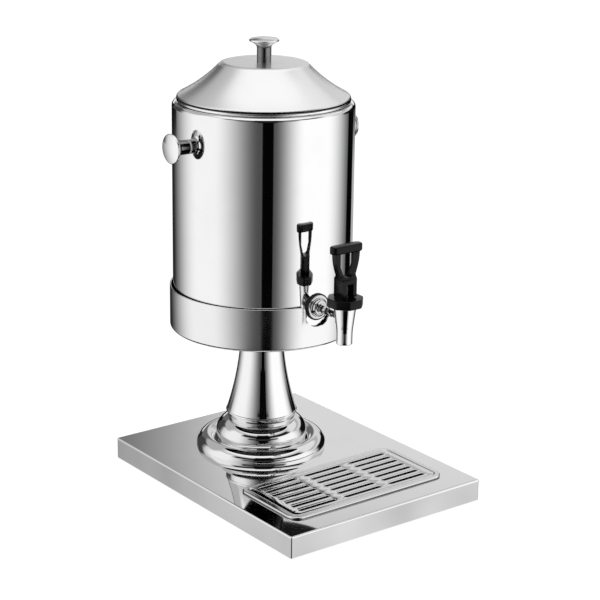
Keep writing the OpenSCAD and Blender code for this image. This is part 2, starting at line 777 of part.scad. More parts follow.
module tap_inner_gasket() {
    color(black_rubber) difference() {
        intersection() {
            front_drum(inner_gasket_d, inner_gasket_face, can_r);
            wall_drum(can_r - can_wall - saddle_gap);
        }
        front_drum(shank_hole_d, inner_gasket_face - overrun, can_r + overrun);
    }
}

module tap_shank_nut() {
    color(steel) difference() {
        translate([0, axis_y - inner_gasket_face + shank_nut_h, tap_z]) rotate([90, 0, 0])
            hex_blank(shank_nut_flats, shank_nut_h);
        front_drum(shank_hole_d, 0, inner_gasket_face + overrun);
    }
}

module tap_collar() {
    bevel = 0.12 * collar_h;
    corner_r = collar_flats / 2 / cos(22.5);
    color(black_plastic) translate([0, tap_y, 0]) difference() {
        intersection() {
            translate([0, 0, collar_z]) rotate([0, 0, 22.5]) cylinder(r = corner_r, h = collar_h, $fn = 8);
            turned([[0, collar_z], [corner_r - bevel, collar_z], [corner_r, collar_z + bevel],
                [corner_r, collar_top_z - bevel], [corner_r - bevel, collar_top_z], [0, collar_top_z]]);
        }
        drum(tap_body_d / 2 + bolt_gap, collar_z - overrun, collar_web_z);
        drum(stem_d / 2 + running_gap, collar_web_z - overrun, collar_top_z + overrun);
    }
}

module valve_stem() {
    color(steel) translate([0, tap_y, 0]) difference() {
        union() {
            drum(stem_neck_r, stem_tip_z, stem_collar_z);
            drum(seat_cup_r, stem_collar_z, stem_collar_z + stem_collar_h);
            drum(stem_neck_r, stem_collar_z, stem_shoulder_z);
            drum(stem_d / 2, stem_shoulder_z, stem_top_z);
        }
        translate([-stem_d, 0, pin_z]) rotate([0, 90, 0])
            cylinder(d = pin_d + 2 * running_gap, h = 2 * stem_d, $fn = small_fn);
    }
}

module valve_seat_cup() {
    tip = seat_z + seat_gap;
    color(clear_silicone) translate([0, tap_y, 0]) difference() {
        turned([[0, tip], [0.7 * seat_cup_r, tip], [seat_cup_r, tip + 0.3 * seat_cup_h],
            [seat_cup_r, tip + seat_cup_h], [0, tip + seat_cup_h]]);
        drum(stem_neck_r + running_gap, stem_tip_z, stem_collar_z + overrun);
    }
}

// Rings of points round the spring's helix, and the tube that joins them
function spring_point(k, rise, z0) =
    let (a = 360 * k / spring_rings_per_turn)
    [spring_mid_r * cos(a), spring_mid_r * sin(a), z0 + rise * k];

function spring_ring(k, rise, z0) =
    let (a = 360 * k / spring_rings_per_turn, c = spring_point(k, rise, z0))
    [for (s = [0:spring_sides - 1]) let (b = 360 * s / spring_sides)
        c + spring_wire_d / 2 * [cos(b) * cos(a), cos(b) * sin(a), sin(b)]];

module return_spring() {
    rings = spring_turns * spring_rings_per_turn;
    z0 = spring_low_z + spring_wire_d / 2 + running_gap;
    z1 = collar_web_z - spring_wire_d / 2 - running_gap;
    rise = (z1 - z0) / rings;
    points = [for (k = [0:rings]) each spring_ring(k, rise, z0)];
    sides = [for (k = [0:rings - 1]) for (s = [0:spring_sides - 1])
        let (n = (s + 1) % spring_sides, i = k * spring_sides, j = i + spring_sides)
        [i + s, i + n, j + n, j + s]];
    low_cap = [for (s = [0:spring_sides - 1]) spring_sides - 1 - s];
    high_cap = [for (s = [0:spring_sides - 1]) rings * spring_sides + s];
    color(dark_steel) translate([0, tap_y, 0])
        polyhedron(points = points, faces = concat([low_cap], sides, [high_cap]), convexity = 6);
}

// The lever seen from the front: hub, waist, blade and finger hole
module lever_front() {
    side = [for (i = [0:blade_steps]) let (t = i / blade_steps)
        [hub_w / 2 + (blade_w - hub_w) / 2 * sin(90 * t), hub_top_z + blade_h * t]];
    mirrored = [for (i = [0:blade_steps]) let (p = side[blade_steps - i]) [-p[0], p[1]]];
    difference() {
        polygon(concat(
            [[-hub_w / 2, foot_bottom_z], [hub_w / 2, foot_bottom_z]],
            side, mirrored));
        hull() {
            translate([0, finger_top_z - finger_h + finger_w / 2]) circle(0.32 * finger_w);
            translate([0, finger_top_z - finger_h / 3]) square([finger_w, finger_h / 4], center = true);
        }
        translate([0, finger_top_z - finger_h / 6]) square([finger_w, finger_h / 3], center = true);
    }
}

// The lever seen from the side: rolling foot, hub and tapering blade
module lever_side() {
    foot = [for (i = [0:foot_steps]) foot_point(lever_tilt * i / foot_steps)];
    shoulder_z = hub_h - pin_above_foot;
    front_y = blade_set_back - blade_t / 2;
    back_y = blade_set_back + blade_t / 2;
    front = [for (i = [0:blade_steps]) let (t = i / blade_steps)
        [-hub_w / 2 + (front_y + hub_w / 2) * ease(t), shoulder_z + hub_taper_h * t]];
    back = [for (i = [0:blade_steps]) let (t = i / blade_steps)
        [hub_w / 2 + (back_y - hub_w / 2) * ease(t), shoulder_z + hub_taper_h * t]];
    top_z = shoulder_z + blade_h;
    polygon(concat(
        [[hub_w / 2, -pin_above_foot]],
        [for (p = foot) [max(p[0], -hub_w / 2), p[1]]],
        front,
        [[front_y, top_z], [back_y, top_z]],
        [for (i = [0:blade_steps]) back[blade_steps - i]]));
}

module tap_lever() {
    color(black_plastic) difference() {
        union() {
            intersection() {
                translate([0, tap_y + hub_w, 0]) rotate([90, 0, 0])
                    linear_extrude(2 * hub_w) lever_front();
                translate([-blade_w, tap_y, pin_z]) rotate([90, 0, 90])
                    linear_extrude(2 * blade_w) lever_side();
            }
            translate([0, tap_y + blade_set_back, bar_z]) linear_extrude(bar_h)
                round_rect(bar_l, bar_d, 0.49 * bar_d);
        }
        translate([-lever_slot_w / 2, tap_y - hub_w, foot_bottom_z - overrun])
            cube([lever_slot_w, hub_w + lever_slot_back, lever_slot_top_z - foot_bottom_z + overrun]);
        translate([-pin_l / 2, tap_y, pin_z]) rotate([0, 90, 0])
            cylinder(d = pin_d + 2 * running_gap, h = pin_l, $fn = small_fn);
    }
}

module lever_pin() {
    color(steel) translate([-pin_l / 2 + running_gap, tap_y, pin_z]) rotate([0, 90, 0])
        cylinder(d = pin_d, h = pin_l - 2 * running_gap, $fn = small_fn);
}

module lid_shell() {
    inner = lid_line(lid_wall);
    count = len(inner);
    color(satin_steel) on_axis() difference() {
        turned(concat(
            [[lid_skirt_r, lid_z], [lid_r - lid_bead_dip, lid_z]],
            arc(lid_r - lid_bead_h / 2, lid_z + lid_bead_h / 2, lid_bead_h / 2, -60, 60, 6),
            lid_line(0),
            [[0, lid_top_z], [0, lid_top_z - lid_wall]],
            [for (i = [1:count]) inner[count - i]],
            [[lid_skirt_r - lid_wall, lid_z + lid_bead_h], [lid_skirt_r - lid_wall, lid_z - lid_skirt_h],
                [lid_skirt_r, lid_z - lid_skirt_h]]));
        drum(knob_hole_d / 2, lid_top_z - lid_wall - overrun, lid_top_z + overrun);
    }
}

module lid_knob() {
    color(steel) on_axis() translate([0, 0, lid_top_z]) mushroom_knob(lid_knob_h);
}

module lid_knob_washer() {
    top = lid_top_z - lid_wall;
    color(steel) on_axis() difference() {
        drum(knob_washer_d / 2, top - knob_washer_t, top);
        drum(knob_hole_d / 2, top - knob_washer_t - overrun, top + overrun);
    }
}

module lid_knob_screw() {
    face = lid_top_z - lid_wall - knob_washer_t;
    color(steel) on_axis() {
        drum(knob_screw_head_d / 2, face - knob_screw_head_h, face);
        drum(knob_screw_d / 2, face - knob_screw_head_h, lid_top_z + knob_screw_bite);
    }
}

module drip_tray() {
    color(satin_steel) translate([0, tray_y, 0]) difference() {
        union() {
            translate([0, 0, tray_rim_z]) linear_extrude(tray_rim_h)
                round_rect(tray_w, tray_d, tray_corner_r);
            translate([0, 0, tray_ledge_z - tray_wall]) linear_extrude(tray_top_z - tray_ledge_z)
                round_rect(tray_well_w + 2 * tray_wall, tray_well_d + 2 * tray_wall,
                    tray_well_r + tray_wall);
            translate([0, 0, tray_floor_z]) linear_extrude(tray_ledge_z - tray_floor_z)
                round_rect(tray_basin_w + 2 * tray_wall, tray_basin_d + 2 * tray_wall,
                    tray_basin_r + tray_wall);
        }
        translate([0, 0, tray_ledge_z]) linear_extrude(tray_rim_h + overrun)
            round_rect(tray_well_w, tray_well_d, tray_well_r);
        translate([0, 0, tray_floor_z + tray_wall]) linear_extrude(tray_depth + tray_rim_h)
            round_rect(tray_basin_w, tray_basin_d, tray_basin_r);
    }
}

module drip_grille() {
    color(satin_steel) translate([0, tray_y, tray_ledge_z + seat_gap]) difference() {
        linear_extrude(grille_t)
            round_rect(tray_well_w - 2 * grille_gap, tray_well_d - 2 * grille_gap,
                tray_well_r - grille_gap);
        for (c = [0:slot_cols - 1]) for (r = [0:slot_rows - 1])
            translate([(c - (slot_cols - 1) / 2) * slot_col_pitch,
                (r - (slot_rows - 1) / 2) * slot_row_pitch, -overrun])
                linear_extrude(grille_t + 2 * overrun)
                    round_rect(slot_len, slot_w, slot_w / 2 - running_gap);
    }
}

base_shell();
base_backing_disc();
base_standoffs();
base_underplate();
rubber_feet();
foot_screws();
pedestal_lower_ring();
pedestal_upper_ring();
pedestal_column();
tie_rod();
tie_rod_washers();
tie_rod_nuts();
holder_cup();
cooling_pack();
milk_container();
side_knob_left();
side_knob_right();
side_knob_washers();
side_knob_seals();
side_knob_screws();
tap_body();
tap_spout();
tap_flange();
tap_outer_gasket();
tap_inner_gasket();
tap_shank_nut();
tap_collar();
valve_stem();
valve_seat_cup();
return_spring();
tap_lever();
lever_pin();
lid_shell();
lid_knob();
lid_knob_washer();
lid_knob_screw();
drip_tray();
drip_grille();
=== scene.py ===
"""Dressed model of a stainless steel milk dispenser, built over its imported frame.

Every size in the classes is in millimetres, in the frame's own coordinates: the
middle of the base on the floor, +Z up and the tap towards -Y. The bench turns
them into Blender's metres.
"""

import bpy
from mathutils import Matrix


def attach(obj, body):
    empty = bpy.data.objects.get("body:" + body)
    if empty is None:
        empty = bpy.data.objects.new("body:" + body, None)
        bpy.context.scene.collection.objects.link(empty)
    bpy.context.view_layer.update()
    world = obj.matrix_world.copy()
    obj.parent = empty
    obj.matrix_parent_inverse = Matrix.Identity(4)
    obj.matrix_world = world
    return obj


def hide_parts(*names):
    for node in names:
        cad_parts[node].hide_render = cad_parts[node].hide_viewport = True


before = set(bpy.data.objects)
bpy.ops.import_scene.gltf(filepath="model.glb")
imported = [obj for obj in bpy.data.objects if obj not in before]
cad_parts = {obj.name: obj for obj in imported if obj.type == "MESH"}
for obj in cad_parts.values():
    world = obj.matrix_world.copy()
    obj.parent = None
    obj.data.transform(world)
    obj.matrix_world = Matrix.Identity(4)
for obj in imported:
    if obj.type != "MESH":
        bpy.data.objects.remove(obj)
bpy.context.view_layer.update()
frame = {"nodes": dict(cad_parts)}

import logging
import math
from dataclasses import dataclass, field
from enum import Enum
from typing import Callable, Mapping, Sequence

import bmesh
import bpy
from mathutils import Matrix, Vector

LOG = logging.getLogger("milk_dispenser")
MM = 0.001
FULL_TURN = 2 * math.pi
HALF_TURN = 180.0
WIDE_TURN_STEPS = 240
TURN_STEPS = 192
SMALL_TURN_STEPS = 96
CURVE_STEPS = 14
MERGE_DISTANCE = 1e-6
LEVEL_TOLERANCE = 0.01
SLOT_TOLERANCE = 0.001
SMOOTH_ANGLE = math.radians(32)
SOFTEN_ANGLE = math.radians(38)
FLAT_ANGLE = math.radians(0.2)
AXIS_Y = 64.5
TAP_Y = -90.0
TRAY_Y = -92.5
SHANK_Z = 223.7
SIDE_KNOB_Z = 401.2

Outline = list[tuple[float, float]]
Colour = tuple[float, float, float]
Piece = bpy.types.Object
Material = bpy.types.Material
Socket = bpy.types.NodeSocket
Node = bpy.types.Node
Tree = bpy.types.NodeTree
Finishes = dict[str, Material]


class Slot(Enum):
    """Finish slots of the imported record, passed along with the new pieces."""

    MIRROR = "mirror_steel"
    SATIN = "satin_steel"
    PLASTIC = "black_plastic"


class Axis(Enum):
    """Axis that a piece was turned about, as the turn that brings it upright."""

    X = (0.0, math.pi / 2, 0.0)
    Y = (math.pi / 2, 0.0, 0.0)
    Z = (0.0, 0.0, 0.0)

    @property
    def along(self) -> Vector:
        """Return the unit vector along the axis."""
        return Vector([float(self is axis) for axis in Axis])


def arc(cx: float, cy: float, r: float, start: float, end: float, steps: int) -> Outline:
    """List the points of an arc in the plane of an outline.

    Args:
        cx, cy: Centre.
        r: Radius.
        start, end: First and last angle in degrees.
        steps: Number of equal steps.

    Returns:
        The points from start to end.
    """
    angles = [math.radians(start + (end - start) * i / steps) for i in range(steps + 1)]
    return [(cx + r * math.cos(a), cy + r * math.sin(a)) for a in angles]


def shares(steps: int) -> list[float]:
    """Return equal steps from 0 to 1, both ends included."""
    return [i / steps for i in range(steps + 1)]


def ease(t: float) -> float:
    """Return a smooth step from 0 to 1."""
    return t * t * (3 - 2 * t)


def linear(display: float) -> float:
    """Return the light value that a display shows as the given brightness."""
    return display / 12.92 if display <= 0.04045 else ((display + 0.055) / 1.055) ** 2.4


class Bench:
    """The modelling bench: the moves in edit mode that the pieces are made with."""

    @staticmethod
    def deselect() -> None:
        """Deselect every object, because an operator acts on all that is selected."""
        bpy.ops.object.select_all(action="DESELECT")

    @staticmethod
    def pick(piece: Piece) -> None:
        """Make one piece the only one selected, and active."""
        Bench.deselect()
        piece.select_set(True)
        bpy.context.view_layer.objects.active = piece

    @staticmethod
    def start(name: str, place: Vector) -> Piece:
        """Start a piece as a tiny square at a place in millimetres, open in edit mode."""
        Bench.deselect()
        bpy.ops.mesh.primitive_plane_add(size=MM, location=place * MM)
        piece = bpy.context.object
        piece.name = name
        piece.data.name = name
        bpy.ops.object.transform_apply(location=True, rotation=False, scale=False)
        bpy.ops.object.mode_set(mode="EDIT")
        return piece

    @staticmethod
    def extrude(step: Vector) -> None:
        """Extrude what is selected by a step in millimetres."""
        bpy.ops.mesh.extrude_region_move(TRANSFORM_OT_translate={"value": step * MM})

    @staticmethod
    def wire(name: str, points: Sequence[Vector]) -> Piece:
        """Draw a line of edges through points, left open in edit mode.

        Args:
            name: Name of the new piece.
            points: Places in millimetres; the last may close the line on the first.

        Returns:
            The piece, in edit mode with its last point selected.
        """
        piece = Bench.start(name, points[0])
        bpy.ops.mesh.select_mode(type="VERT")
        bpy.ops.mesh.select_all(action="SELECT")
        bpy.ops.mesh.merge(type="CENTER")
        for here, there in zip(points, points[1:]):
            Bench.extrude(there - here)
        return piece

    @staticmethod
    def close_up() -> None:
        """Merge doubled points and turn every face outwards, then leave edit mode."""
        bpy.ops.mesh.select_all(action="SELECT")
        bpy.ops.mesh.remove_doubles(threshold=MERGE_DISTANCE)
        bpy.ops.mesh.normals_make_consistent(inside=False)
        bpy.ops.object.mode_set(mode="OBJECT")

    @staticmethod
    def turn(
        name: str,
        outline: Outline,
        centre: Vector,
        axis: Axis = Axis.Z,
        side: int = 1,
        steps: int = TURN_STEPS,
    ) -> Piece:
        """Turn a closed outline of radius and height about an axis.

        Args:
            name: Name of the new piece.
            outline: Points of radius and distance along the axis, in order.
            centre: A point of the axis, from which the distance is measured.
            axis: Axis of the turning.
            side: +1 or -1, the direction along the axis that distances grow in.
            steps: Number of facets round the axis.

        Returns:
            The turned piece, in object mode.
        """
        across = Axis.X.along if axis is Axis.Z else Axis.Z.along
        points = [centre + across * r + axis.along * (side * h) for r, h in outline]
        piece = Bench.wire(name, points)
        bpy.ops.mesh.select_all(action="SELECT")
        bpy.ops.mesh.spin(steps=steps, angle=FULL_TURN, center=centre * MM, axis=axis.along)
        Bench.close_up()
        return piece

    @staticmethod
    def prism(name: str, outline: Sequence[Vector], depth: Vector) -> Piece:
        """Fill a closed outline and extrude it to a solid.

        Args:
            name: Name of the new piece.
            outline: Corner points in one plane, in order.
            depth: How far and in which direction the face is extruded.

        Returns:
            The solid, in object mode.
        """
        piece = Bench.wire(name, list(outline) + [outline[0]])
        bpy.ops.mesh.select_all(action="SELECT")
        bpy.ops.mesh.remove_doubles(threshold=MERGE_DISTANCE)
        bpy.ops.mesh.edge_face_add()
        Bench.extrude(depth)
        Bench.close_up()
        return piece

    @staticmethod
    def rounded_face(size: tuple[float, float], radius: float, centre: Vector, steps: int) -> None:
        """Add a flat face with round corners to the mesh in edit mode, alone selected.

        Args:
            size: Sizes along X and Y.
            radius: Corner radius.
            centre: Middle of the face.
            steps: Edges in each corner.
        """
        middle = centre * MM
        bpy.ops.mesh.select_all(action="DESELECT")
        bpy.ops.mesh.primitive_plane_add(size=MM, location=middle)
        bpy.ops.transform.resize(value=(*size, 1.0), center_override=middle)
        bpy.ops.mesh.bevel(
            offset=radius * MM, segments=steps, affect="VERTICES", clamp_overlap=False
        )

    @staticmethod
    def rounded_plate(
        name: str, size: tuple[float, float], radius: float, centre: Vector, steps: int
    ) -> Piece:
        """Start a piece from one flat face with round corners.

        Args:
            name: Name of the new piece.
            size, radius, centre, steps: As for a rounded face.

        Returns:
            The piece, in edit mode with its face selected.
        """
        piece = Bench.start(name, Vector())
        bpy.ops.mesh.select_all(action="SELECT")
        bpy.ops.mesh.delete(type="VERT")
        Bench.rounded_face(size, radius, centre, steps)
        bpy.ops.mesh.select_mode(type="FACE")
        return piece

    @staticmethod
    def lift(height: float) -> None:
        """Extrude the selected face straight up, or down when height is negative."""
        Bench.extrude(Vector((0, 0, height)))

    @staticmethod
    def step_in(width: float, rise: float = 0.0) -> None:
        """Inset the selected face by width and move it up by rise."""
        bpy.ops.mesh.inset(thickness=width * MM, depth=rise * MM, use_even_offset=True)

    @staticmethod
    def follow(spots: Outline) -> None:
        """Carry the selected face inwards along a line of distances and heights."""
        for (x0, y0), (x1, y1) in zip(spots, spots[1:]):
            Bench.step_in(abs(x1 - x0), y1 - y0)

    @staticmethod
    def round_over(radius: float, steps: int, first_down: bool = False) -> None:
        """Carry the selected face round a quarter circle, up and in, or in and down.

        Args:
            radius: Radius of the rounding.
            steps: Number of strips.
            first_down: True where the face turns from flat to straight down.
        """
        spots = arc(0, 0, radius, 0, 90, steps)
        Bench.follow([(y, x) for x, y in spots] if first_down else spots)

    @staticmethod
    def modify(piece: Piece, kind: str, **settings: object) -> None:
        """Add a modifier with its settings to a piece and apply it.

        Args:
            piece: The piece, in object mode.
            kind: Blender's name of the modifier type.
            settings: Options of the modifier.
        """
        Bench.pick(piece)
        change = piece.modifiers.new(kind.lower(), kind)
        for option, value in settings.items():
            setattr(change, option, value)
        bpy.ops.object.modifier_apply(modifier=change.name)

    @staticmethod
    def combine(piece: Piece, other: Piece, how: str) -> None:
        """Cut, join or intersect a piece with another, which is used up."""
        Bench.modify(piece, "BOOLEAN", operation=how, solver="EXACT", object=other)
        bpy.data.objects.remove(other)

    @staticmethod
    def thicken(piece: Piece, wall: float) -> None:
        """Give a sheet its thickness, inwards from its outer face."""
        Bench.modify(piece, "SOLIDIFY", thickness=wall * MM, offset=-1.0, use_even_offset=True)

    @staticmethod
    def soften(piece: Piece, width: float, steps: int) -> None:
        """Round every sharp edge of a piece by width."""
        size = {"width": width * MM, "segments": steps}
        Bench.modify(piece, "BEVEL", **size, limit_method="ANGLE", angle_limit=SOFTEN_ANGLE)

    @staticmethod
    def tidy_flats(piece: Piece) -> None:
        """Dissolve the needless edges on a piece's flat faces."""
        Bench.pick(piece)
        bpy.ops.object.mode_set(mode="EDIT")
        bpy.ops.mesh.select_all(action="SELECT")
        bpy.ops.mesh.remove_doubles(threshold=MERGE_DISTANCE)
        bpy.ops.mesh.dissolve_limited(angle_limit=FLAT_ANGLE)
        bpy.ops.object.mode_set(mode="OBJECT")

    @staticmethod
    def select_edges(piece: Piece, test: Callable[[Vector, Vector], bool]) -> None:
        """Select the edges whose two ends pass a test of their places.

        Args:
            piece: The piece, in edit mode.
            test: Takes the ends in millimetres and says whether the edge is wanted.
        """
        bpy.ops.mesh.select_mode(type="EDGE")
        bpy.ops.mesh.select_all(action="DESELECT")
        mesh = bmesh.from_edit_mesh(piece.data)
        for edge in mesh.edges:
            ends = [vert.co / MM for vert in edge.verts]
            if test(ends[0], ends[1]):
                edge.select = True
        mesh.select_flush_mode()
        bmesh.update_edit_mesh(piece.data)

    @staticmethod
    def open_at(piece: Piece, height: float) -> None:
        """Delete the face that closes a piece in edit mode at a height."""
        bpy.ops.mesh.select_all(action="DESELECT")
        mesh = bmesh.from_edit_mesh(piece.data)
        for face in mesh.faces:
            if all(abs(vert.co.z / MM - height) < LEVEL_TOLERANCE for vert in face.verts):
                face.select = True
        bmesh.update_edit_mesh(piece.data)
        bpy.ops.mesh.delete(type="ONLY_FACE")


class Wiring:
    """A node tree with a short call that adds a node and joins it."""

    def __init__(self, tree: Tree) -> None:
        """Take the tree that nodes are added to."""
        self.tree = tree

    def add(
        self, kind: str, inputs: Mapping[str | int, object] | None = None, **settings: object
    ) -> Node:
        """Add a node, set its options, and fill or join its inputs.

        Args:
            kind: Blender's name of the node type.
            inputs: Values or sockets, by input name or number.
            settings: Options of the node.

        Returns:
            The new node.
        """
        made = self.tree.nodes.new(kind)
        for option, value in settings.items():
            setattr(made, option, value)
        for key, value in (inputs or {}).items():
            if isinstance(value, Socket):
                self.join(value, made.inputs[key])
            else:
                made.inputs[key].default_value = value
        return made

    def join(self, source: Socket, target: Socket) -> None:
        """Join an output to an input."""
        self.tree.links.new(source, target)

    def math(self, operation: str, first: object, second: object = 0.0) -> Socket:
        """Add one sum and return its result."""
        return self.add("ShaderNodeMath", {0: first, 1: second}, operation=operation).outputs[0]

    def mix(self, share: object, first: object, second: object) -> Socket:
        """Add a mix of two colours and return its result."""
        inputs = {"Factor": share, "A": first, "B": second}
        return self.add("ShaderNodeMix", inputs, data_type="RGBA").outputs["Result"]

    def mix_shaders(self, share: Socket, first: Node, second: Node) -> Node:
        """Add a mix of two shader nodes and return its node."""
        inputs = {0: share, 1: first.outputs[0], 2: second.outputs[0]}
        return self.add("ShaderNodeMixShader", inputs)

    def noise(
        self, vector: Socket, scale: float, detail: float = 1.0, rough: float = 0.5
    ) -> Socket:
        """Add a noise pattern and return its value."""
        inputs = {"Vector": vector, "Scale": scale, "Detail": detail, "Roughness": rough}
        return self.add("ShaderNodeTexNoise", inputs).outputs[0]

    def spread(self, value: Socket, low: float, high: float, *to: float, **how: str) -> Socket:
        """Add a clamped change of range, from low and high to the next two, and return it."""
        inputs = {0: value, 1: low, 2: high, 3: to[0], 4: to[1]}
        return self.add("ShaderNodeMapRange", inputs, **how).outputs[0]

    def fade(self, value: Socket, start: float, end: float) -> Socket:
        """Add a soft step from 0 at start to 1 at end and return its result."""
        return self.spread(value, start, end, 0.0, 1.0, interpolation_type="SMOOTHSTEP")

    def stretch(self, vector: Socket, scale: tuple[float, float, float]) -> Socket:
        """Scale a vector along its three axes and return it."""
        made = self.add("ShaderNodeVectorMath", {0: vector, 1: scale}, operation="MULTIPLY")
        return made.outputs[0]

    def parts(self, vector: Socket) -> Sequence[Socket]:
        """Split a vector and return its three parts."""
        return self.add("ShaderNodeSeparateXYZ", {0: vector}).outputs

    def group(self, tree: Tree, vector: Socket) -> Sequence[Socket]:
        """Add a node group, join its vector and return its outputs."""
        return self.add("ShaderNodeGroup", {0: vector}, node_tree=tree).outputs


SMUDGE_RANGE = (0.48, 0.74)
SCRATCH_RANGE = (0.55, 0.7)
HAIR_WIDTH = 0.012


class Patterns:
    """Surface patterns that several finishes share, each a node group built once."""

    def __init__(self) -> None:
        """Build the groups."""
        self.waves = self._waves()
        self.turning = self._turning()
        self.brushing = self._brushing()
        self.wear = self._wear()
        self.grain = self._grain()

    @staticmethod
    def _group(name: str, *outputs: str) -> tuple[Wiring, Socket, Sequence[Socket]]:
        """Start a group with one vector input and some value outputs.

        Args:
            name: Name of the group.
            outputs: Names of its outputs.

        Returns:
            The wiring, the group's vector and the sockets that lead out of it.
        """
        tree = bpy.data.node_groups.new(name, "ShaderNodeTree")
        tree.interface.new_socket("Vector", in_out="INPUT", socket_type="NodeSocketVector")
        for output in outputs:
            tree.interface.new_socket(output, in_out="OUTPUT", socket_type="NodeSocketFloat")
        wiring = Wiring(tree)
        vector = wiring.add("NodeGroupInput").outputs[0]
        return wiring, vector, wiring.add("NodeGroupOutput").inputs

    @staticmethod
    def _blend(
        wiring: Wiring, ends: Sequence[Socket], first: Socket, second: Socket, share: float
    ) -> Tree:
        """Send two patterns out of a group as one height.

        Args:
            wiring: The group's wiring.
            ends: The sockets that lead out of the group.
            first, second: The patterns.
            share: Share of the first.

        Returns:
            The finished group.
        """
        parts = wiring.math("MULTIPLY", first, share), wiring.math("MULTIPLY", second, 1 - share)
        wiring.join(wiring.math("ADD", *parts), ends[0])
        return wiring.tree

    def _waves(self) -> Tree:
        """Build the slow waves of drawn or folded sheet."""
        wiring, place, ends = self._group("sheet_waves", "Height")
        patterns = wiring.noise(place, scale=9.0), wiring.noise(place, scale=34.0)
        return self._blend(wiring, ends, *patterns, share=0.8)

    def _turning(self) -> Tree:
        """Build the fine rings that turning and spinning leave round the upright axis."""
        wiring, place, ends = self._group("turning_rings", "Height")
        x, y, z = wiring.parts(place)
        flat = wiring.add("ShaderNodeCombineXYZ", {0: x, 1: y}).outputs[0]
        radius = wiring.add("ShaderNodeVectorMath", {0: flat}, operation="LENGTH")
        spot = wiring.add("ShaderNodeCombineXYZ", {0: radius.outputs["Value"], 2: z}).outputs[0]
        fine = wiring.noise(spot, scale=2600.0, detail=2.0, rough=0.6)
        return self._blend(wiring, ends, fine, wiring.noise(spot, scale=420.0), share=0.6)

    def _brushing(self) -> Tree:
        """Build straight brush lines along X."""
        wiring, place, ends = self._group("brush_lines", "Height")
        fine_place = wiring.stretch(place, (60.0, 4200.0, 4200.0))
        fine = wiring.noise(fine_place, scale=1.0, detail=2.0, rough=0.6)
        broad = wiring.noise(wiring.stretch(place, (14.0, 700.0, 700.0)), scale=1.0)
        return self._blend(wiring, ends, fine, broad, share=0.65)

    def _wear(self) -> Tree:
        """Build smudges and hair scratches, as masks from 0 to 1."""
        wiring, place, ends = self._group("handling_marks", "Smudge", "Scratch")
        cloud = wiring.noise(place, scale=26.0, detail=5.0, rough=0.62)
        wiring.join(wiring.spread(cloud, *SMUDGE_RANGE, 0.0, 1.0), ends[0])
        inputs = {"Vector": wiring.stretch(place, (30.0, 210.0, 40.0)), "Scale": 1.0}
        cells = wiring.add("ShaderNodeTexVoronoi", inputs, feature="DISTANCE_TO_EDGE")
        hair = wiring.spread(cells.outputs["Distance"], 0.0, HAIR_WIDTH, 1.0, 0.0)
        spots = wiring.noise(place, scale=60.0, detail=2.0)
        patch = wiring.spread(spots, *SCRATCH_RANGE, 0.0, 1.0)
        wiring.join(wiring.math("MULTIPLY", hair, patch), ends[1])
        return wiring.tree

    def _grain(self) -> Tree:
        """Build the fine grain of a moulded surface."""
        wiring, place, ends = self._group("moulded_grain", "Height")
        fine = wiring.noise(place, scale=3200.0, detail=2.0, rough=0.6)
        broad = wiring.noise(place, scale=240.0, detail=2.0)
        return self._blend(wiring, ends, fine, broad, share=0.7)


class Surface:
    """A material in the making: one Principled shader, its relief and its marks."""

    def __init__(self, name: str, patterns: Patterns | None = None) -> None:
        """Start the material, with handling marks where the patterns are given."""
        self.material = bpy.data.materials.new(name)
        self.material.use_nodes = True
        self.material.node_tree.nodes.clear()
        self.wiring = Wiring(self.material.node_tree)
        self.shader = self.wiring.add("ShaderNodeBsdfPrincipled")
        self.output = self.wiring.add("ShaderNodeOutputMaterial", {0: self.shader.outputs[0]})
        self.normal: Socket | None = None
        if patterns is not None:
            self.place = self.wiring.add("ShaderNodeTexCoord").outputs["Object"]
            self.smudge, self.scratch = self.wiring.group(patterns.wear, self.place)

    def set(self, **values: object) -> None:
        """Set shader inputs that are the same all over, with _ for the spaces in a name."""
        for name, value in values.items():
            self.shader.inputs[name.replace("_", " ")].default_value = value

    def relief(self, height: Socket, size: float) -> None:
        """Lay a pattern over the relief below it.

        Args:
            height: The pattern.
            size: Its height in millimetres, negative where it is sunk in.
        """
        inputs: dict[str, object] = {"Height": height, "Strength": 1.0, "Distance": abs(size) * MM}
        if self.normal is not None:
            inputs["Normal"] = self.normal
        self.normal = self.wiring.add("ShaderNodeBump", inputs, invert=size < 0).outputs[0]

    def colour(self, clean: Colour, handled: Sequence[float]) -> Socket:
        """Return the colour, changed where the surface is handled."""
        return self.wiring.mix(self.smudge, (*clean, 1.0), (*handled, 1.0))

    def rough(self, clean: float, smudge: float) -> Socket:
        """Return the roughness, raised where the surface is handled."""
        return self.wiring.math("ADD", self.wiring.math("MULTIPLY", self.smudge, smudge), clean)

    def finish(self, colour: Socket, rough: Socket) -> Material:
        """Join colour, roughness and relief to the shader and return the material."""
        ends = {"Base Color": colour, "Roughness": rough, "Normal": self.normal}
        for name, socket in ends.items():
            self.wiring.join(socket, self.shader.inputs[name])
        return self.material


# Black that painted shade is mixed towards.
SHADE_BLACK = (0.0, 0.0, 0.0, 1.0)
# Colour and blend width of a painted shadow line.
SHADOW_LINE_COLOUR = (0.01, 0.01, 0.01, 1.0)
SHADOW_LINE_BLEND = 0.25
# Blend width of painted shade and of the polished band; size and range of the clouds of painted
# shade.
SHADE_AND_POLISH_BLEND = 0.6
SHADE_CLOUD_SCALE = 11.0
SHADE_CLOUD_RANGE = (0.3, 0.7)
POLISHED_SHARE = 0.25
HANDLED_SHARE = 0.975
POLISHED_TINT = (0.90, 0.90, 0.905)
SATIN_TINT = (0.86, 0.86, 0.86)
LID_TINT = (0.92, 0.92, 0.92)
# The cup is tinted darker than the other polished steel as painted shade.
CUP_SHADED_TINT = (0.86, 0.86, 0.865)
# The rings are tinted darker as painted shade, for the light from above that the cup hides.
RING_SHADED_TINT = (0.84, 0.84, 0.845)
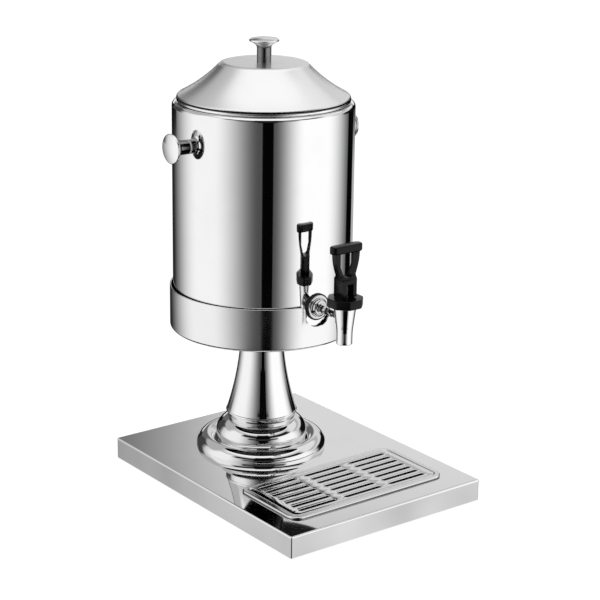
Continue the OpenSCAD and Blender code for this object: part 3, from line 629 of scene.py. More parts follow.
# The flange is tinted much darker than the tap as painted shade.
FLANGE_SHADED_TINT = (0.66, 0.66, 0.665)
# The stem is tinted near black as painted shade, for its place in the lever's slot.
STEM_SHADED_TINT = (0.1, 0.1, 0.105)
PLAIN_TINT = (0.56, 0.57, 0.59)


@dataclass(frozen=True)
class SteelFinish:
    """A stainless steel finish, from mirror to satin.

    Attributes:
        name: Name of the material.
        roughness: Roughness of the clean surface.
        smudge: Roughness that smudges add.
        wave: Height of the sheet's waves in millimetres.
        centre: A point of the turning axis in millimetres.
        axis: The turning axis, or None for straight brushing along X.
        tint: Colour of the bare metal, tinted darker on the cup, rings, flange and stem as painted
            shade.
        line: Height of the turning or brushing lines in millimetres.
        scratch: Height of the hair scratches in millimetres.
        painted_shade: Distance along the axis under which shade is painted by darkening towards
            black, and its least and most share.
        polished_below: Height under which it is polished, or None.
        shadow_line: Lower and upper height of a painted shadow line, or None.
    """

    name: str
    roughness: float
    smudge: float
    wave: float
    centre: tuple[float, float, float]
    axis: Axis | None = Axis.Z
    tint: Colour = POLISHED_TINT
    line: float = 0.00012
    scratch: float = 0.0002
    painted_shade: tuple[float, float, float] | None = None
    polished_below: float | None = None
    shadow_line: tuple[float, float] | None = None

    def build(self, patterns: Patterns) -> Material:
        """Build the material from the shared patterns."""
        surface = Surface(self.name, patterns)
        wiring = surface.wiring
        shift = {"Vector": surface.place, "Location": [-value * MM for value in self.centre]}
        centred = wiring.add("ShaderNodeMapping", shift).outputs[0]
        if self.axis in (Axis.X, Axis.Y):
            turned = {"Vector": centred, "Rotation": self.axis.value}
            centred = wiring.add("ShaderNodeMapping", turned).outputs[0]
        colour = surface.colour(self.tint, [value * HANDLED_SHARE for value in self.tint])
        rough = surface.rough(self.roughness, self.smudge)
        # Painted shade: darker towards black near the foot of the axis.
        if self.painted_shade is not None:
            colour = self._paint_shade(wiring, centred, colour, self.painted_shade)
        # Painted shadow: a dark line between two heights.
        if self.shadow_line is not None:
            colour = self._paint_shadow_line(wiring, surface.place, colour, self.shadow_line)
        if self.polished_below is not None:
            rough = self._polish(wiring, surface.place, rough, self.polished_below)
        lines = patterns.turning if self.axis else patterns.brushing
        surface.relief(wiring.group(patterns.waves, surface.place)[0], self.wave)
        surface.relief(wiring.group(lines, centred)[0], self.line)
        surface.relief(surface.scratch, -self.scratch)
        surface.set(Metallic=1.0)
        return surface.finish(colour, rough)

    @staticmethod
    def _paint_shade(wiring: Wiring, place: Socket, colour: Socket, painted_shade: Sequence[float]) -> Socket:
        """Paint shade near the foot of the axis, in slow clouds, by mixing the colour towards
        black.

        Args:
            wiring: The material's wiring.
            place: Place from the centre, with the axis upright.
            colour: Colour of the rest.
            painted_shade: Distance along the axis, and the least and most share of painted shade.

        Returns:
            The colour with the painted shade.
        """
        limit, least, most = painted_shade
        distance = wiring.math("ABSOLUTE", wiring.parts(place)[2])
        near = wiring.spread(distance, (limit - SHADE_AND_POLISH_BLEND) * MM, limit * MM, 1.0, 0.0)
        cloud = wiring.noise(place, SHADE_CLOUD_SCALE)
        share = wiring.spread(cloud, *SHADE_CLOUD_RANGE, least, most)
        return wiring.mix(wiring.math("MULTIPLY", near, share), colour, SHADE_BLACK)

    @staticmethod
    def _polish(wiring: Wiring, place: Socket, rough: Socket, limit: float) -> Socket:
        """Polish the surface below a height and return its roughness."""
        height = wiring.parts(place)[2]
        reach = (limit - SHADE_AND_POLISH_BLEND) * MM, limit * MM
        share = wiring.spread(height, *reach, POLISHED_SHARE, 1.0)
        return wiring.math("MULTIPLY", rough, share)

    @staticmethod
    def _paint_shadow_line(
        wiring: Wiring, place: Socket, colour: Socket, shadow_line: Sequence[float]
    ) -> Socket:
        """Paint a shadow line between two heights and return the colour."""
        height = wiring.parts(place)[2]
        low, high = shadow_line
        above = wiring.spread(height, (low - SHADOW_LINE_BLEND) * MM, low * MM, 0.0, 1.0)
        below = wiring.spread(height, high * MM, (high + SHADOW_LINE_BLEND) * MM, 1.0, 0.0)
        return wiring.mix(wiring.math("MULTIPLY", above, below), colour, SHADOW_LINE_COLOUR)


@dataclass(frozen=True)
class MouldedFinish:
    """A moulded plastic, rubber or silicone finish.

    Attributes:
        name: Name of the material.
        colour: Colour of the material.
        handled: Colour of the handled places.
        roughness: Roughness of the clean surface.
        grain: Height of the moulded grain in millimetres.
        specular: Level of its clear reflection.
        transmission: Share of light that passes through.
        smudge: Roughness that handling adds.
        scratch: Depth of the hair scratches in millimetres.
    """

    name: str
    colour: Colour
    handled: Colour
    roughness: float
    grain: float
    specular: float
    transmission: float = 0.0
    smudge: float = 0.1
    scratch: float = 0.002

    def build(self, patterns: Patterns) -> Material:
        """Build the material from the shared patterns."""
        surface = Surface(self.name, patterns)
        surface.relief(surface.wiring.group(patterns.grain, surface.place)[0], self.grain)
        surface.relief(surface.scratch, -self.scratch)
        surface.set(Transmission_Weight=self.transmission, Specular_IOR_Level=self.specular)
        rough = surface.rough(self.roughness, self.smudge)
        return surface.finish(surface.colour(self.colour, self.handled), rough)


MIDDLE = (0.0, 0.0, 0.0)
STACK = (0.0, AXIS_Y, 0.0)
TAP = (0.0, TAP_Y, 0.0)
TRAY = (0.0, TRAY_Y, 0.0)
SHANK = (0.0, TAP_Y, SHANK_Z)
SIDE_KNOBS = (0.0, AXIS_Y, SIDE_KNOB_Z)

FINISHES: dict[str, SteelFinish | MouldedFinish] = {
    "drum": SteelFinish("polished_drum", 0.045, 0.03, 0.014, STACK),
    # Cup: darker tint and a darker floor below 177.4 mm, both painted shade.
    "cup": SteelFinish(
        "polished_cup", 0.12, 0.04, 0.012, STACK, tint=CUP_SHADED_TINT, scratch=0.0004,
        painted_shade=(177.4, 0.93, 0.97),
    ),
    "column": SteelFinish("polished_column", 0.035, 0.02, 0.004, STACK),
    # Rings: darker tint as painted shade.
    "rings": SteelFinish("polished_rings", 0.045, 0.02, 0.004, STACK, tint=RING_SHADED_TINT),
    # Lid knob: the neck under the head darkened as painted shade.
    "knob": SteelFinish(
        "polished_knob", 0.05, 0.03, 0.001, STACK, painted_shade=(506.5, 0.62, 0.9)
    ),
    # Side knobs: the neck under the head darkened as painted shade.
    "side_knob": SteelFinish(
        "polished_side_knob", 0.05, 0.03, 0.001, SIDE_KNOBS, Axis.X, painted_shade=(120.0, 0.62, 0.9)
    ),
    "tap": SteelFinish("polished_tap", 0.04, 0.03, 0.001, TAP),
    # Flange: darker tint as painted shade.
    "flange": SteelFinish(
        "polished_flange", 0.05, 0.03, 0.001, SHANK, Axis.Y, tint=FLANGE_SHADED_TINT
    ),
    # Base: the side walls under the folded edge darkened as painted shade.
    "base": SteelFinish(
        "polished_base", 0.03, 0.025, 0.02, MIDDLE, None, painted_shade=(24.9, 0.3, 0.46)
    ),
    # Stem and pin: plain steel painted near black as shade.
    "stem": SteelFinish(
        "dark_stem", 0.3, 0.1, 0.002, TAP, tint=STEM_SHADED_TINT, line=0.0005, scratch=0.0004
    ),
    # Lid: a painted shadow line above the bead, standing in for the shade of a groove that is not
    # modelled.
    "lid": SteelFinish(
        "satin_lid", 0.28, 0.04, 0.01, STACK, tint=LID_TINT, line=0.0012, scratch=0.0004,
        polished_below=447.9, shadow_line=(446.0, 447.7),
    ),
    # Tray: the basin under the grille darkened as painted shade.
    "tray": SteelFinish(
        "satin_tray", 0.14, 0.05, 0.01, TRAY, None, tint=SATIN_TINT, line=0.0008,
        scratch=0.0004, painted_shade=(28.2, 0.6, 0.76),
    ),
    # Grille: the slot walls and underside darkened as painted shade.
    "grille": SteelFinish(
        "polished_grille", 0.07, 0.04, 0.014, TRAY, None, tint=SATIN_TINT, line=0.0003,
        scratch=0.0004, painted_shade=(29.1, 0.84, 0.93),
    ),
    "plain": SteelFinish(
        "plain_steel", 0.32, 0.1, 0.01, MIDDLE, None, tint=PLAIN_TINT, line=0.002, scratch=0.0004
    ),
    "plastic": MouldedFinish(
        "black_plastic", (0.002, 0.002, 0.0021), (0.004, 0.004, 0.0042), 0.2, 0.003, 0.2
    ),
    "rubber": MouldedFinish(
        "black_rubber", (0.014, 0.014, 0.014), (0.022, 0.021, 0.02), 0.6, 0.006, 0.3
    ),
    "silicone": MouldedFinish(
        "milky_silicone", (0.8, 0.83, 0.84), (0.76, 0.78, 0.77), 0.35, 0.004, 0.5, 0.5
    ),
    "pack": MouldedFinish(
        "blue_pack_plastic", (0.1, 0.26, 0.5), (0.13, 0.3, 0.52), 0.42, 0.008, 0.5
    ),
}


def build_finishes() -> Finishes:
    """Build every finish once and return the materials by short name."""
    patterns = Patterns()
    return {name: finish.build(patterns) for name, finish in FINISHES.items()}


@dataclass
class Part:
    """A part of the dispenser with the finishes that its pieces take."""

    finishes: Finishes

    def hand_over(self, piece: Piece, finish: str, slot: Slot, body: str, *nodes: str) -> None:
        """Smooth and dress a finished piece, and say what it rides on and stands for.

        Args:
            piece: The finished piece, in object mode.
            finish: Short name of its finish.
            slot: Finish slot of the record; not used.
            body: Body of the frame that it moves with.
            nodes: Nodes of the frame that it stands for.
        """
        Bench.pick(piece)
        bpy.ops.object.shade_smooth_by_angle(angle=SMOOTH_ANGLE)
        piece.data.materials.clear()
        piece.data.materials.append(self.finishes[finish])
        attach(piece, body)
        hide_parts(*nodes)
        piece.data.calc_loop_triangles()
        count = len(piece.data.loop_triangles)
        LOG.info("%s: %d triangles, rides on %s", piece.name, count, body)


@dataclass
class Base(Part):
    """The folded box base with its tray cut-out."""

    width: float = 270.0
    depth: float = 350.0
    bottom: float = 1.5
    top: float = 26.5
    corner: float = 2.0
    fold: float = 1.5
    sheet: float = 1.2
    cut_size: tuple[float, float] = (208.0, 97.0)
    cut_corner: float = 9.5
    guard: float = 0.35

    def build(self) -> None:
        """Build the shell: walls up from the floor, a folded edge and the pierced top."""
        start = Vector((0, 0, self.bottom))
        size = (self.width, self.depth)
        shell = Bench.rounded_plate("base_shell_sheet", size, self.corner, start, 6)
        Bench.lift(self.top - self.fold - self.bottom - self.guard)
        Bench.lift(self.guard)
        Bench.round_over(self.fold, 6)
        Bench.step_in(self.guard)
        bpy.ops.mesh.delete(type="ONLY_FACE")
        Bench.open_at(shell, self.bottom)
        hole = Vector((0, TRAY_Y, self.top))
        Bench.rounded_face(self.cut_size, self.cut_corner, hole, 12)
        bpy.ops.mesh.delete(type="ONLY_FACE")
        Bench.select_edges(shell, lambda a, b: self._on_top(a) and self._on_top(b))
        bpy.ops.mesh.fill(use_beauty=True)
        Bench.close_up()
        Bench.thicken(shell, self.sheet)
        self.hand_over(shell, "base", Slot.MIRROR, "stand", "base_shell")

    def _on_top(self, spot: Vector) -> bool:
        """Return whether a point lies on the flat top, inside the folded edge."""
        inner = self.width / 2 - self.fold - self.guard + LEVEL_TOLERANCE
        return abs(spot.z - self.top) < LEVEL_TOLERANCE and abs(spot.x) < inner


@dataclass
class DripTray(Part):
    """The pressed tray and the slotted grille in it."""

    width: float = 217.0
    depth: float = 106.0
    corner: float = 14.0
    rim_width: float = 6.5
    rim_bottom: float = 26.8
    rim_top: float = 29.5
    rim_round: float = 1.6
    lip_round: float = 0.9
    guard: float = 0.2
    ledge_z: float = 27.2
    ledge_width: float = 2.5
    floor_z: float = 11.5
    floor_round: float = 3.0
    wall: float = 1.0
    grille_thickness: float = 2.0
    grille_gap: float = 0.5
    grille_edge: float = 0.5
    slot_length: float = 52.0
    slot_width: float = 5.0
    slot_edge: float = 0.6
    slot_end_flat: float = 0.05
    slot_columns: int = 3
    slot_rows: int = 7
    column_pitch: float = 64.3
    row_pitch: float = 12.2

    def build(self) -> None:
        """Build the tray and the grille."""
        self._build_tray()
        self._build_grille()

    def _build_tray(self) -> None:
        """Press the tray from one flat face, from its outer edge inwards."""
        start = Vector((0, TRAY_Y, self.rim_bottom))
        size = (self.width, self.depth)
        tray = Bench.rounded_plate("drip_tray_pressing", size, self.corner, start, 16)
        Bench.lift(self.rim_top - self.rim_round - self.rim_bottom)
        Bench.round_over(self.rim_round, 6)
        Bench.step_in(self.guard)
        Bench.step_in(self.rim_width - self.rim_round - self.lip_round - 2 * self.guard)
        Bench.step_in(self.guard)
        Bench.round_over(self.lip_round, 5, first_down=True)
        Bench.lift(self.ledge_z + self.lip_round - self.rim_top)
        Bench.step_in(self.guard)
        Bench.step_in(self.ledge_width - self.guard - self.lip_round)
        Bench.round_over(self.lip_round, 4, first_down=True)
        Bench.lift(self.floor_z + self.floor_round - self.ledge_z + self.lip_round)
        Bench.follow(arc(self.floor_round, 0, self.floor_round, 180, 270, 5))
        Bench.step_in(2 * self.guard)
        Bench.open_at(tray, self.rim_bottom)
        Bench.close_up()
        Bench.thicken(tray, self.wall)
        self.hand_over(tray, "tray", Slot.SATIN, "tray", "drip_tray")

    def _build_grille(self) -> None:
        """Build the grille: one slot, its copies, and the plate filled in round them."""
        inset = self.rim_width + self.grille_gap
        size = (self.width - 2 * inset, self.depth - 2 * inset)
        start = Vector((0, TRAY_Y, self.rim_top - self.grille_thickness))
        grille = Bench.rounded_plate("drip_grille_plate", size, self.corner - inset, start, 10)
        Bench.lift(self.grille_thickness - self.grille_edge)
        Bench.round_over(self.grille_edge, 3)
        bpy.ops.mesh.delete(type="ONLY_FACE")
        Bench.open_at(grille, start.z)
        self._add_slots()
        for level in (self.rim_top, start.z):
            Bench.select_edges(grille, lambda a, b: self._level(a, b, level))
            bpy.ops.mesh.fill(use_beauty=True)
        Bench.close_up()
        self.hand_over(grille, "grille", Slot.SATIN, "grille", "drip_grille")

    def _add_slots(self) -> None:
        """Add the slots to the grille in edit mode, each with a rounded upper edge."""
        edge = self.slot_edge
        size = (self.slot_length + 2 * edge, self.slot_width + 2 * edge)
        for column in range(self.slot_columns):
            for row in range(self.slot_rows):
                x = (column - (self.slot_columns - 1) / 2) * self.column_pitch
                y = TRAY_Y + (row - (self.slot_rows - 1) / 2) * self.row_pitch
                spot = Vector((x, y, self.rim_top))
                Bench.rounded_face(size, size[1] / 2 - self.slot_end_flat, spot, 8)
                Bench.round_over(edge, 3, first_down=True)
                Bench.lift(edge - self.grille_thickness)
                bpy.ops.mesh.delete(type="ONLY_FACE")

    @staticmethod
    def _level(first: Vector, second: Vector, height: float) -> bool:
        """Return whether an edge lies at the given height."""
        return all(abs(spot.z - height) < SLOT_TOLERANCE for spot in (first, second))


@dataclass
class Pedestal(Part):
    """The two spun rings and the bell-shaped column."""

    base_top: float = 26.5
    rod_hole: float = 5.1
    wall: float = 1.6
    lower_radius: float = 77.4
    lower_round: float = 13.0
    lower_mid: float = 27.2
    seat_z: float = 38.5
    upper_radius: float = 54.3
    upper_round: float = 18.0
    upper_mid: float = 42.7
    upper_top: float = 80.0
    neck: float = 40.5
    neck_steps: int = 8
    column_z: float = 68.0
    column_foot: float = 42.3
    column_top: float = 24.8
    column_height: float = 108.3
    column_power: float = 1.98
    column_steps: int = 56
    bead: float = 1.5
    bead_steps: int = 10
    bead_reach: float = 4.0

    def build(self) -> None:
        """Build the rings and the column."""
        pieces = (
            ("pedestal_lower_spinning", self._lower_outline(), "rings", "pedestal_lower_ring"),
            ("pedestal_upper_spinning", self._upper_outline(), "rings", "pedestal_upper_ring"),
            ("pedestal_column_spinning", self._column_outline(), "column", "pedestal_column"),
        )
        for name, outline, finish, node in pieces:
            piece = Bench.turn(name, outline, Vector(STACK))
            self.hand_over(piece, finish, Slot.MIRROR, "stand", node)

    def _lower_outline(self) -> Outline:
        """Return the closed outline of the lower ring."""
        mid = self.lower_radius - self.lower_round
        inner = self.lower_round - self.wall
        drop = self.lower_mid - self.base_top
        rise = self.seat_z - self.lower_mid
        foot = -math.degrees(math.asin(drop / self.lower_round))
        end = 180 - math.degrees(math.asin(rise / self.lower_round))
        foot_in = -math.degrees(math.asin(drop / inner))
        end_in = 180 - math.degrees(math.asin((rise - self.wall) / inner))
        line = arc(mid, self.lower_mid, self.lower_round, foot, end, 48)
        line += [(self.rod_hole, self.seat_z), (self.rod_hole, self.seat_z - self.wall)]
        line += arc(mid, self.lower_mid, inner, end_in, foot_in, 20)
        return line + [line[0]]

    def _upper_outline(self) -> Outline:
        """Return the closed outline of the upper ring with its drawn-in neck."""
        mid = self.upper_radius - self.upper_round
        inner = self.upper_round - self.wall
        drop = self.upper_mid - self.seat_z
        foot = -math.degrees(math.asin(drop / self.upper_round))
        foot_in = -math.degrees(math.asin(drop / inner))
        thin = self.upper_round * math.cos(math.radians(self.upper_top)) - self.wall
        top_in = math.degrees(math.acos(thin / inner))
        line = arc(mid, self.upper_mid, self.upper_round, foot, self.upper_top, 48)
        line += self._neck_line(line[-1])
        line += [(self.rod_hole, self.column_z), (self.rod_hole, self.column_z - self.wall)]
        line += [(self.neck - self.wall, self.column_z - self.wall)]
        line += arc(mid, self.upper_mid, inner, top_in, foot_in, 20)
        return line + [line[0]]

    def _neck_line(self, start: tuple[float, float]) -> Outline:
        """Return the hollow curve from the ring up into the neck."""
        points = []
        for t in shares(self.neck_steps)[1:]:
            radius = start[0] + (self.neck - start[0]) * (1 - (1 - t) ** 2)
            points.append((radius, start[1] + (self.column_z - start[1]) * t))
        return points

    def column_radius(self, t: float) -> float:
        """Return the column's radius at share t of its height."""
        flare = self.column_foot - self.column_top
        return self.column_top + flare * (1 - t) ** self.column_power

    def _column_outline(self) -> Outline:
        """Return the closed outline of the column."""
        top = self.column_z + self.column_height
        under = top - 2 * self.wall
        bead_r = self.column_foot - self.bead
        line = arc(bead_r, self.column_z + self.bead, self.bead, -90, 70, self.bead_steps)
        span = self.column_height - self.bead_reach
        for t in shares(self.column_steps):
            height = self.bead_reach + span * t
            line.append((self.column_radius(height / self.column_height), self.column_z + height))
        line += [(self.rod_hole, top), (self.rod_hole, under)]
        outer = line[self.bead_steps + 1:-2:4]
        inner = [(r - self.wall, z) for r, z in outer if z < under]
        line += [(self.column_top - self.wall, under)] + inner[::-1]
        line += [(bead_r - self.wall, self.column_z)]
        return line + [line[0]]


@dataclass
class HolderCup(Part):
    """The wide band that the container stands in, with its notch for the tap."""

    radius: float = 108.2
    bottom: float = 176.3
    height: float = 50.2
    wall: float = 1.6
    edge: float = 0.6
    rod_hole: float = 5.1
    notch_half: float = 18.0
    notch_floor: float = 24.5
    flare: float = 5.0
    cut_start: float = 5.0
    cut_depth: float = 40.0
    cut_over: float = 3.0

    def build(self) -> None:
        """Build the cup and cut its notch."""
        outline = self._outline()
        cup = Bench.turn("holder_cup_spinning", outline, Vector(STACK), steps=WIDE_TURN_STEPS)
        y = AXIS_Y - self.radius - self.cut_start
        notch = [Vector((x, y, self.bottom + z)) for x, z in self._notch()]
        cutter = Bench.prism("notch_cutter", notch, Vector((0, self.cut_depth, 0)))
        Bench.combine(cup, cutter, "DIFFERENCE")
        self.hand_over(cup, "cup", Slot.MIRROR, "stand", "holder_cup")

    def _outline(self) -> Outline:
        """Return the cup's closed outline."""
        corner = 2 * self.wall
        top = self.bottom + self.height
        line = arc(self.radius - corner, self.bottom + corner, corner, -90, 0, 12)
        line += arc(self.radius - self.edge, top - self.edge, self.edge, 0, 90, 5)
        line += arc(self.radius - self.wall + self.edge, top - self.edge, self.edge, 90, 180, 5)
        line += arc(self.radius - corner, self.bottom + corner, corner - self.wall, 0, -90, 8)
        line += [(self.rod_hole, self.bottom + self.wall), (self.rod_hole, self.bottom)]
        return line + [line[0]]

    def _notch(self) -> Outline:
        """Return the notch's outline, round below and flared above."""
        over = self.height + self.cut_over
        out = self.notch_half + self.flare
        line = arc(0, self.notch_floor + self.notch_half, self.notch_half, 180, 360, 40)
        line += arc(out, self.height - self.flare, self.flare, 180, 90, 10)
        line += [(out, over), (-out, over)]
        line += arc(-out, self.height - self.flare, self.flare, 90, 0, 10)
        return line


@dataclass
class Knob:
    """A mushroom knob, as turned on its own foot."""

    head: float = 17.0
    neck: float = 8.2
    rim: float = 2.6
    rim_place: float = 1.2
    flare: float = 8.0
    flare_power: float = 2.4
    flare_steps: int = 16
    crown_steps: int = 20

    def outline(self, height: float) -> Outline:
        """Return the knob's closed outline.

        Args:
            height: Height from its foot to the top of its head.

        Returns:
            Points of radius and height.
        """
        edge = self.rim / 2
        rim_z = height - self.rim_place * self.rim
        foot_z = rim_z - edge - self.flare
        span = self.head - edge - self.neck
        line: Outline = [(0.0, 0.0), (self.neck, 0.0)]
        for t in shares(self.flare_steps):
            line.append((self.neck + span * t ** self.flare_power, foot_z + self.flare * t))
        line += arc(self.head - edge, rim_z, edge, -60, 70, 12)
        rise = height - rim_z - edge
        for t in shares(self.crown_steps)[-2::-1]:
            line.append(((self.head - edge) * t, height - rise * t * t))
        return line


@dataclass
class Container(Part):
    """The drawn drum and its two side knobs."""

    radius: float = 104.5
    bottom: float = 192.2
    rim: float = 442.2
    wall: float = 1.2
    shoulder: float = 5.0
    heel: float = 3.0
    mouth: float = 94.0
    knob_height: float = 23.5
    seal: float = 1.0
    knob: Knob = field(default_factory=Knob)

    def build(self) -> None:
        """Build the drum and the knobs."""
        outline = self._outline()
        drum = Bench.turn("milk_container_drum", outline, Vector(STACK), steps=WIDE_TURN_STEPS)
        self.hand_over(drum, "drum", Slot.MIRROR, "container", "milk_container")
        outline = self.knob.outline(self.knob_height)
        for side, name in ((-1, "side_knob_left"), (1, "side_knob_right")):
            foot = Vector((side * (self.radius + self.seal), AXIS_Y, SIDE_KNOB_Z))
            knob = Bench.turn(f"{name}_turning", outline, foot, Axis.X, side, SMALL_TURN_STEPS)
            self.hand_over(knob, "side_knob", Slot.MIRROR, "container", name)

    def _outline(self) -> Outline:
        """Return the drum's closed outline, outer wall first."""
        edge = self.wall / 2
        heel = (self.radius - self.heel, self.bottom + self.heel)
        shoulder = (self.radius - self.shoulder, self.rim - self.shoulder)
        line: Outline = [(0.0, self.bottom)]
        line += arc(*heel, self.heel, -90, 0, 10)
        line += arc(*shoulder, self.shoulder, 0, 90, 14)
        line += arc(self.mouth + edge, self.rim - edge, edge, 90, 270, 6)
        line += arc(*shoulder, self.shoulder - self.wall, 90, 0, 10)
        line += arc(*heel, self.heel - self.wall, 0, -90, 6)
        return line + [(0.0, self.bottom + self.wall)]


@dataclass
class Lid(Part):
    """The domed lid and its knob."""

    radius: float = 99.3
    bottom: float = 442.5
    bead: float = 3.6
    edge: float = 4.1
    low_slope: float = 27.5
    high_slope: float = 46.0
    flank: float = 175.0
    top_round: float = 10.4
    wall: float = 1.2
    skirt: float = 93.2
    skirt_depth: float = 10.0
    knob_height: float = 27.5
    knob: Knob = field(default_factory=Knob)

    def build(self) -> None:
        """Build the lid and its knob."""
        outer = self._line(0.0)
        top = outer[-1][1]
        outline = self._outline(outer, top)
        lid = Bench.turn("lid_spinning", outline, Vector(STACK), steps=WIDE_TURN_STEPS)
        self.hand_over(lid, "lid", Slot.SATIN, "lid", "lid_shell")
        foot = Vector((0, AXIS_Y, top))
        outline = self.knob.outline(self.knob_height)
        knob = Bench.turn("lid_knob_turning", outline, foot, steps=SMALL_TURN_STEPS)
        self.hand_over(knob, "knob", Slot.MIRROR, "lid", "lid_knob")

    def _line(self, inset: float) -> Outline:
        """Return the lid's outline from edge to top, moved inwards by an inset.

        Args:
            inset: How far the line is moved inwards.

        Returns:
            Points of radius and height.
        """
        low = math.radians(self.low_slope)
        high = math.radians(self.high_slope)
        edge_r = self.radius - self.edge
        edge_z = self.bottom + self.bead
        flank_r = edge_r + self.edge * math.sin(low) + self.flank * math.sin(low)
        flank_z = edge_z + self.edge * math.cos(low) + self.flank * math.cos(low)
        top_r = flank_r - (self.flank + self.top_round) * math.sin(high)
        top_z = flank_z - (self.flank + self.top_round) * math.cos(high)
        angles = (270 - self.low_slope, 270 - self.high_slope)
        line = arc(edge_r, edge_z, self.edge - inset, 0, 90 - self.low_slope, 16)
        line += arc(flank_r, flank_z, self.flank + inset, *angles, 40)[1:]
        line += arc(top_r, top_z, self.top_round - inset, 90 - self.high_slope, 90, 14)[1:]
        return line

    def _outline(self, outer: Outline, top: float) -> Outline:
        """Return the lid's closed outline with its bead and skirt.

        Args:
            outer: The outer line from edge to top.
            top: Height of the lid's top.

        Returns:
            Points of radius and height.
        """
        half = self.bead / 2
        inner = self._line(self.wall)[::3]
        skirt_end = self.bottom - self.skirt_depth
        line: Outline = [(self.skirt, self.bottom), (self.radius - half, self.bottom)]
        line += arc(self.radius - half, self.bottom + half, half, -80, 60, 12)
        line += outer + [(0.0, top), (0.0, top - self.wall)]
        line += inner[::-1]
        line += [(self.skirt - self.wall, self.bottom + self.bead)]
        line += [(self.skirt - self.wall, skirt_end), (self.skirt, skirt_end)]
        return line + [line[0]]


@dataclass
class Tap(Part):
    """The turned tap, its flange and its octagonal collar."""

    spout_z: float = 193.7
    taper_z: float = 208.2
    taper_blend: float = 5.0
    taper_steps: int = 8
    spigot_z: float = 243.7
    spout_radius: float = 9.15
    spout_lip: float = 0.9
    outlet_radius: float = 6.59
    outlet_top: float = 208.4
    outlet_edge: float = 0.4
    body_radius: float = 12.9
    body_edge: float = 0.35
    shank_radius: float = 5.0
    shank_end_y: float = -28.8
    flange_face_y: float = -41.6
    flange_radius: float = 14.0
    flange_rim: float = 0.7
    flange_ledge: tuple[float, float] = (11.4, 1.5)
    flange_bead: tuple[float, float, float] = (9.6, 1.9, 1.5)
    flange_waist: tuple[float, float] = (9.6, 3.6)
    flange_crown: tuple[float, float, float] = (7.6, 4.2, 1.6)
    flange_face: tuple[tuple[float, float], ...] = ((6.4, 6.0), (5.9, 6.6), (5.0, 6.6))
    collar_z: float = 237.7
    collar_flats: float = 38.8
    collar_height: float = 10.0
    collar_edge: float = 1.1
    collar_corner: float = 1.76
    collar_sides: int = 8

    def build(self) -> None:
        """Build the tap's body, flange and collar."""
        steps = SMALL_TURN_STEPS
        body = Bench.turn("tap_body_turning", self._body_outline(), Vector(TAP), steps=steps)
        length = self.shank_end_y - TAP_Y
        rod: Outline = [(0, 0), (self.shank_radius, 0), (self.shank_radius, length), (0, length)]
        Bench.combine(body, Bench.turn("shank", rod, Vector(SHANK), Axis.Y, 1, steps), "UNION")
        Bench.soften(body, self.body_edge, 2)
        nodes = ("tap_body", "tap_spout")
        self.hand_over(body, "tap", Slot.MIRROR, "container", *nodes)
        face = Vector((0, self.flange_face_y, SHANK_Z))
        outline = self._flange_outline()
        flange = Bench.turn("tap_flange_turning", outline, face, Axis.Y, -1, steps)
        self.hand_over(flange, "flange", Slot.MIRROR, "container", "tap_flange")
        self._build_collar()

    def _body_outline(self) -> Outline:
        """Return the outline of spout, taper and spigot."""
        lip = self.spout_lip
        line: Outline = [(0.0, self.outlet_top), (self.outlet_radius, self.outlet_top)]
        line += [(self.outlet_radius, self.spout_z + self.outlet_edge)]
        line += [(self.outlet_radius + self.outlet_edge, self.spout_z)]
        line += arc(self.spout_radius - lip, self.spout_z + lip, lip, -90, 0, 6)
        reach = self.taper_blend
        slope = (self.body_radius - self.spout_radius) / (self.collar_z - self.taper_z)
        for t in shares(self.taper_steps):
            radius = self.spout_radius + slope * 2 * reach * t * t / 2
            line.append((radius, self.taper_z - reach + 2 * reach * t))
        line += [(self.body_radius, self.collar_z), (self.body_radius, self.spigot_z)]
        return line + [(0.0, self.spigot_z)]

    def _flange_outline(self) -> Outline:
        """Return the flange's outline of three steps round the shank."""
        rim = self.flange_rim
        line: Outline = [(self.shank_radius, 0.0)]
        line += arc(self.flange_radius - rim, rim, rim, -90, 90, 10) + [self.flange_ledge]
        line += arc(*self.flange_bead, -20, 40, 5) + [self.flange_waist]
        line += arc(*self.flange_crown, 20, 90, 6) + list(self.flange_face)
        return line + [line[0]]

    def _build_collar(self) -> None:
        """Build the octagonal collar with its edges rounded."""
        half_side = math.pi / self.collar_sides
        corner = self.collar_flats / 2 / math.cos(half_side)
        middle = Vector((0, TAP_Y, self.collar_z + self.collar_height / 2))
        Bench.deselect()
        bpy.ops.mesh.primitive_cylinder_add(
            vertices=self.collar_sides, radius=corner * MM, depth=self.collar_height * MM,
            location=middle * MM, rotation=(0, 0, half_side),
        )
        collar = bpy.context.object
        collar.name = "tap_collar_moulding"
        bpy.ops.object.transform_apply(location=True, rotation=True, scale=False)
        bpy.ops.object.mode_set(mode="EDIT")
        Bench.select_edges(collar, lambda a, b: abs(a.z - b.z) > self.collar_height / 2)
        bpy.ops.mesh.bevel(offset=self.collar_corner * MM, segments=4, affect="EDGES")
        Bench.close_up()
        Bench.soften(collar, self.collar_edge, 4)
        self.hand_over(collar, "plastic", Slot.PLASTIC, "container", "tap_collar")


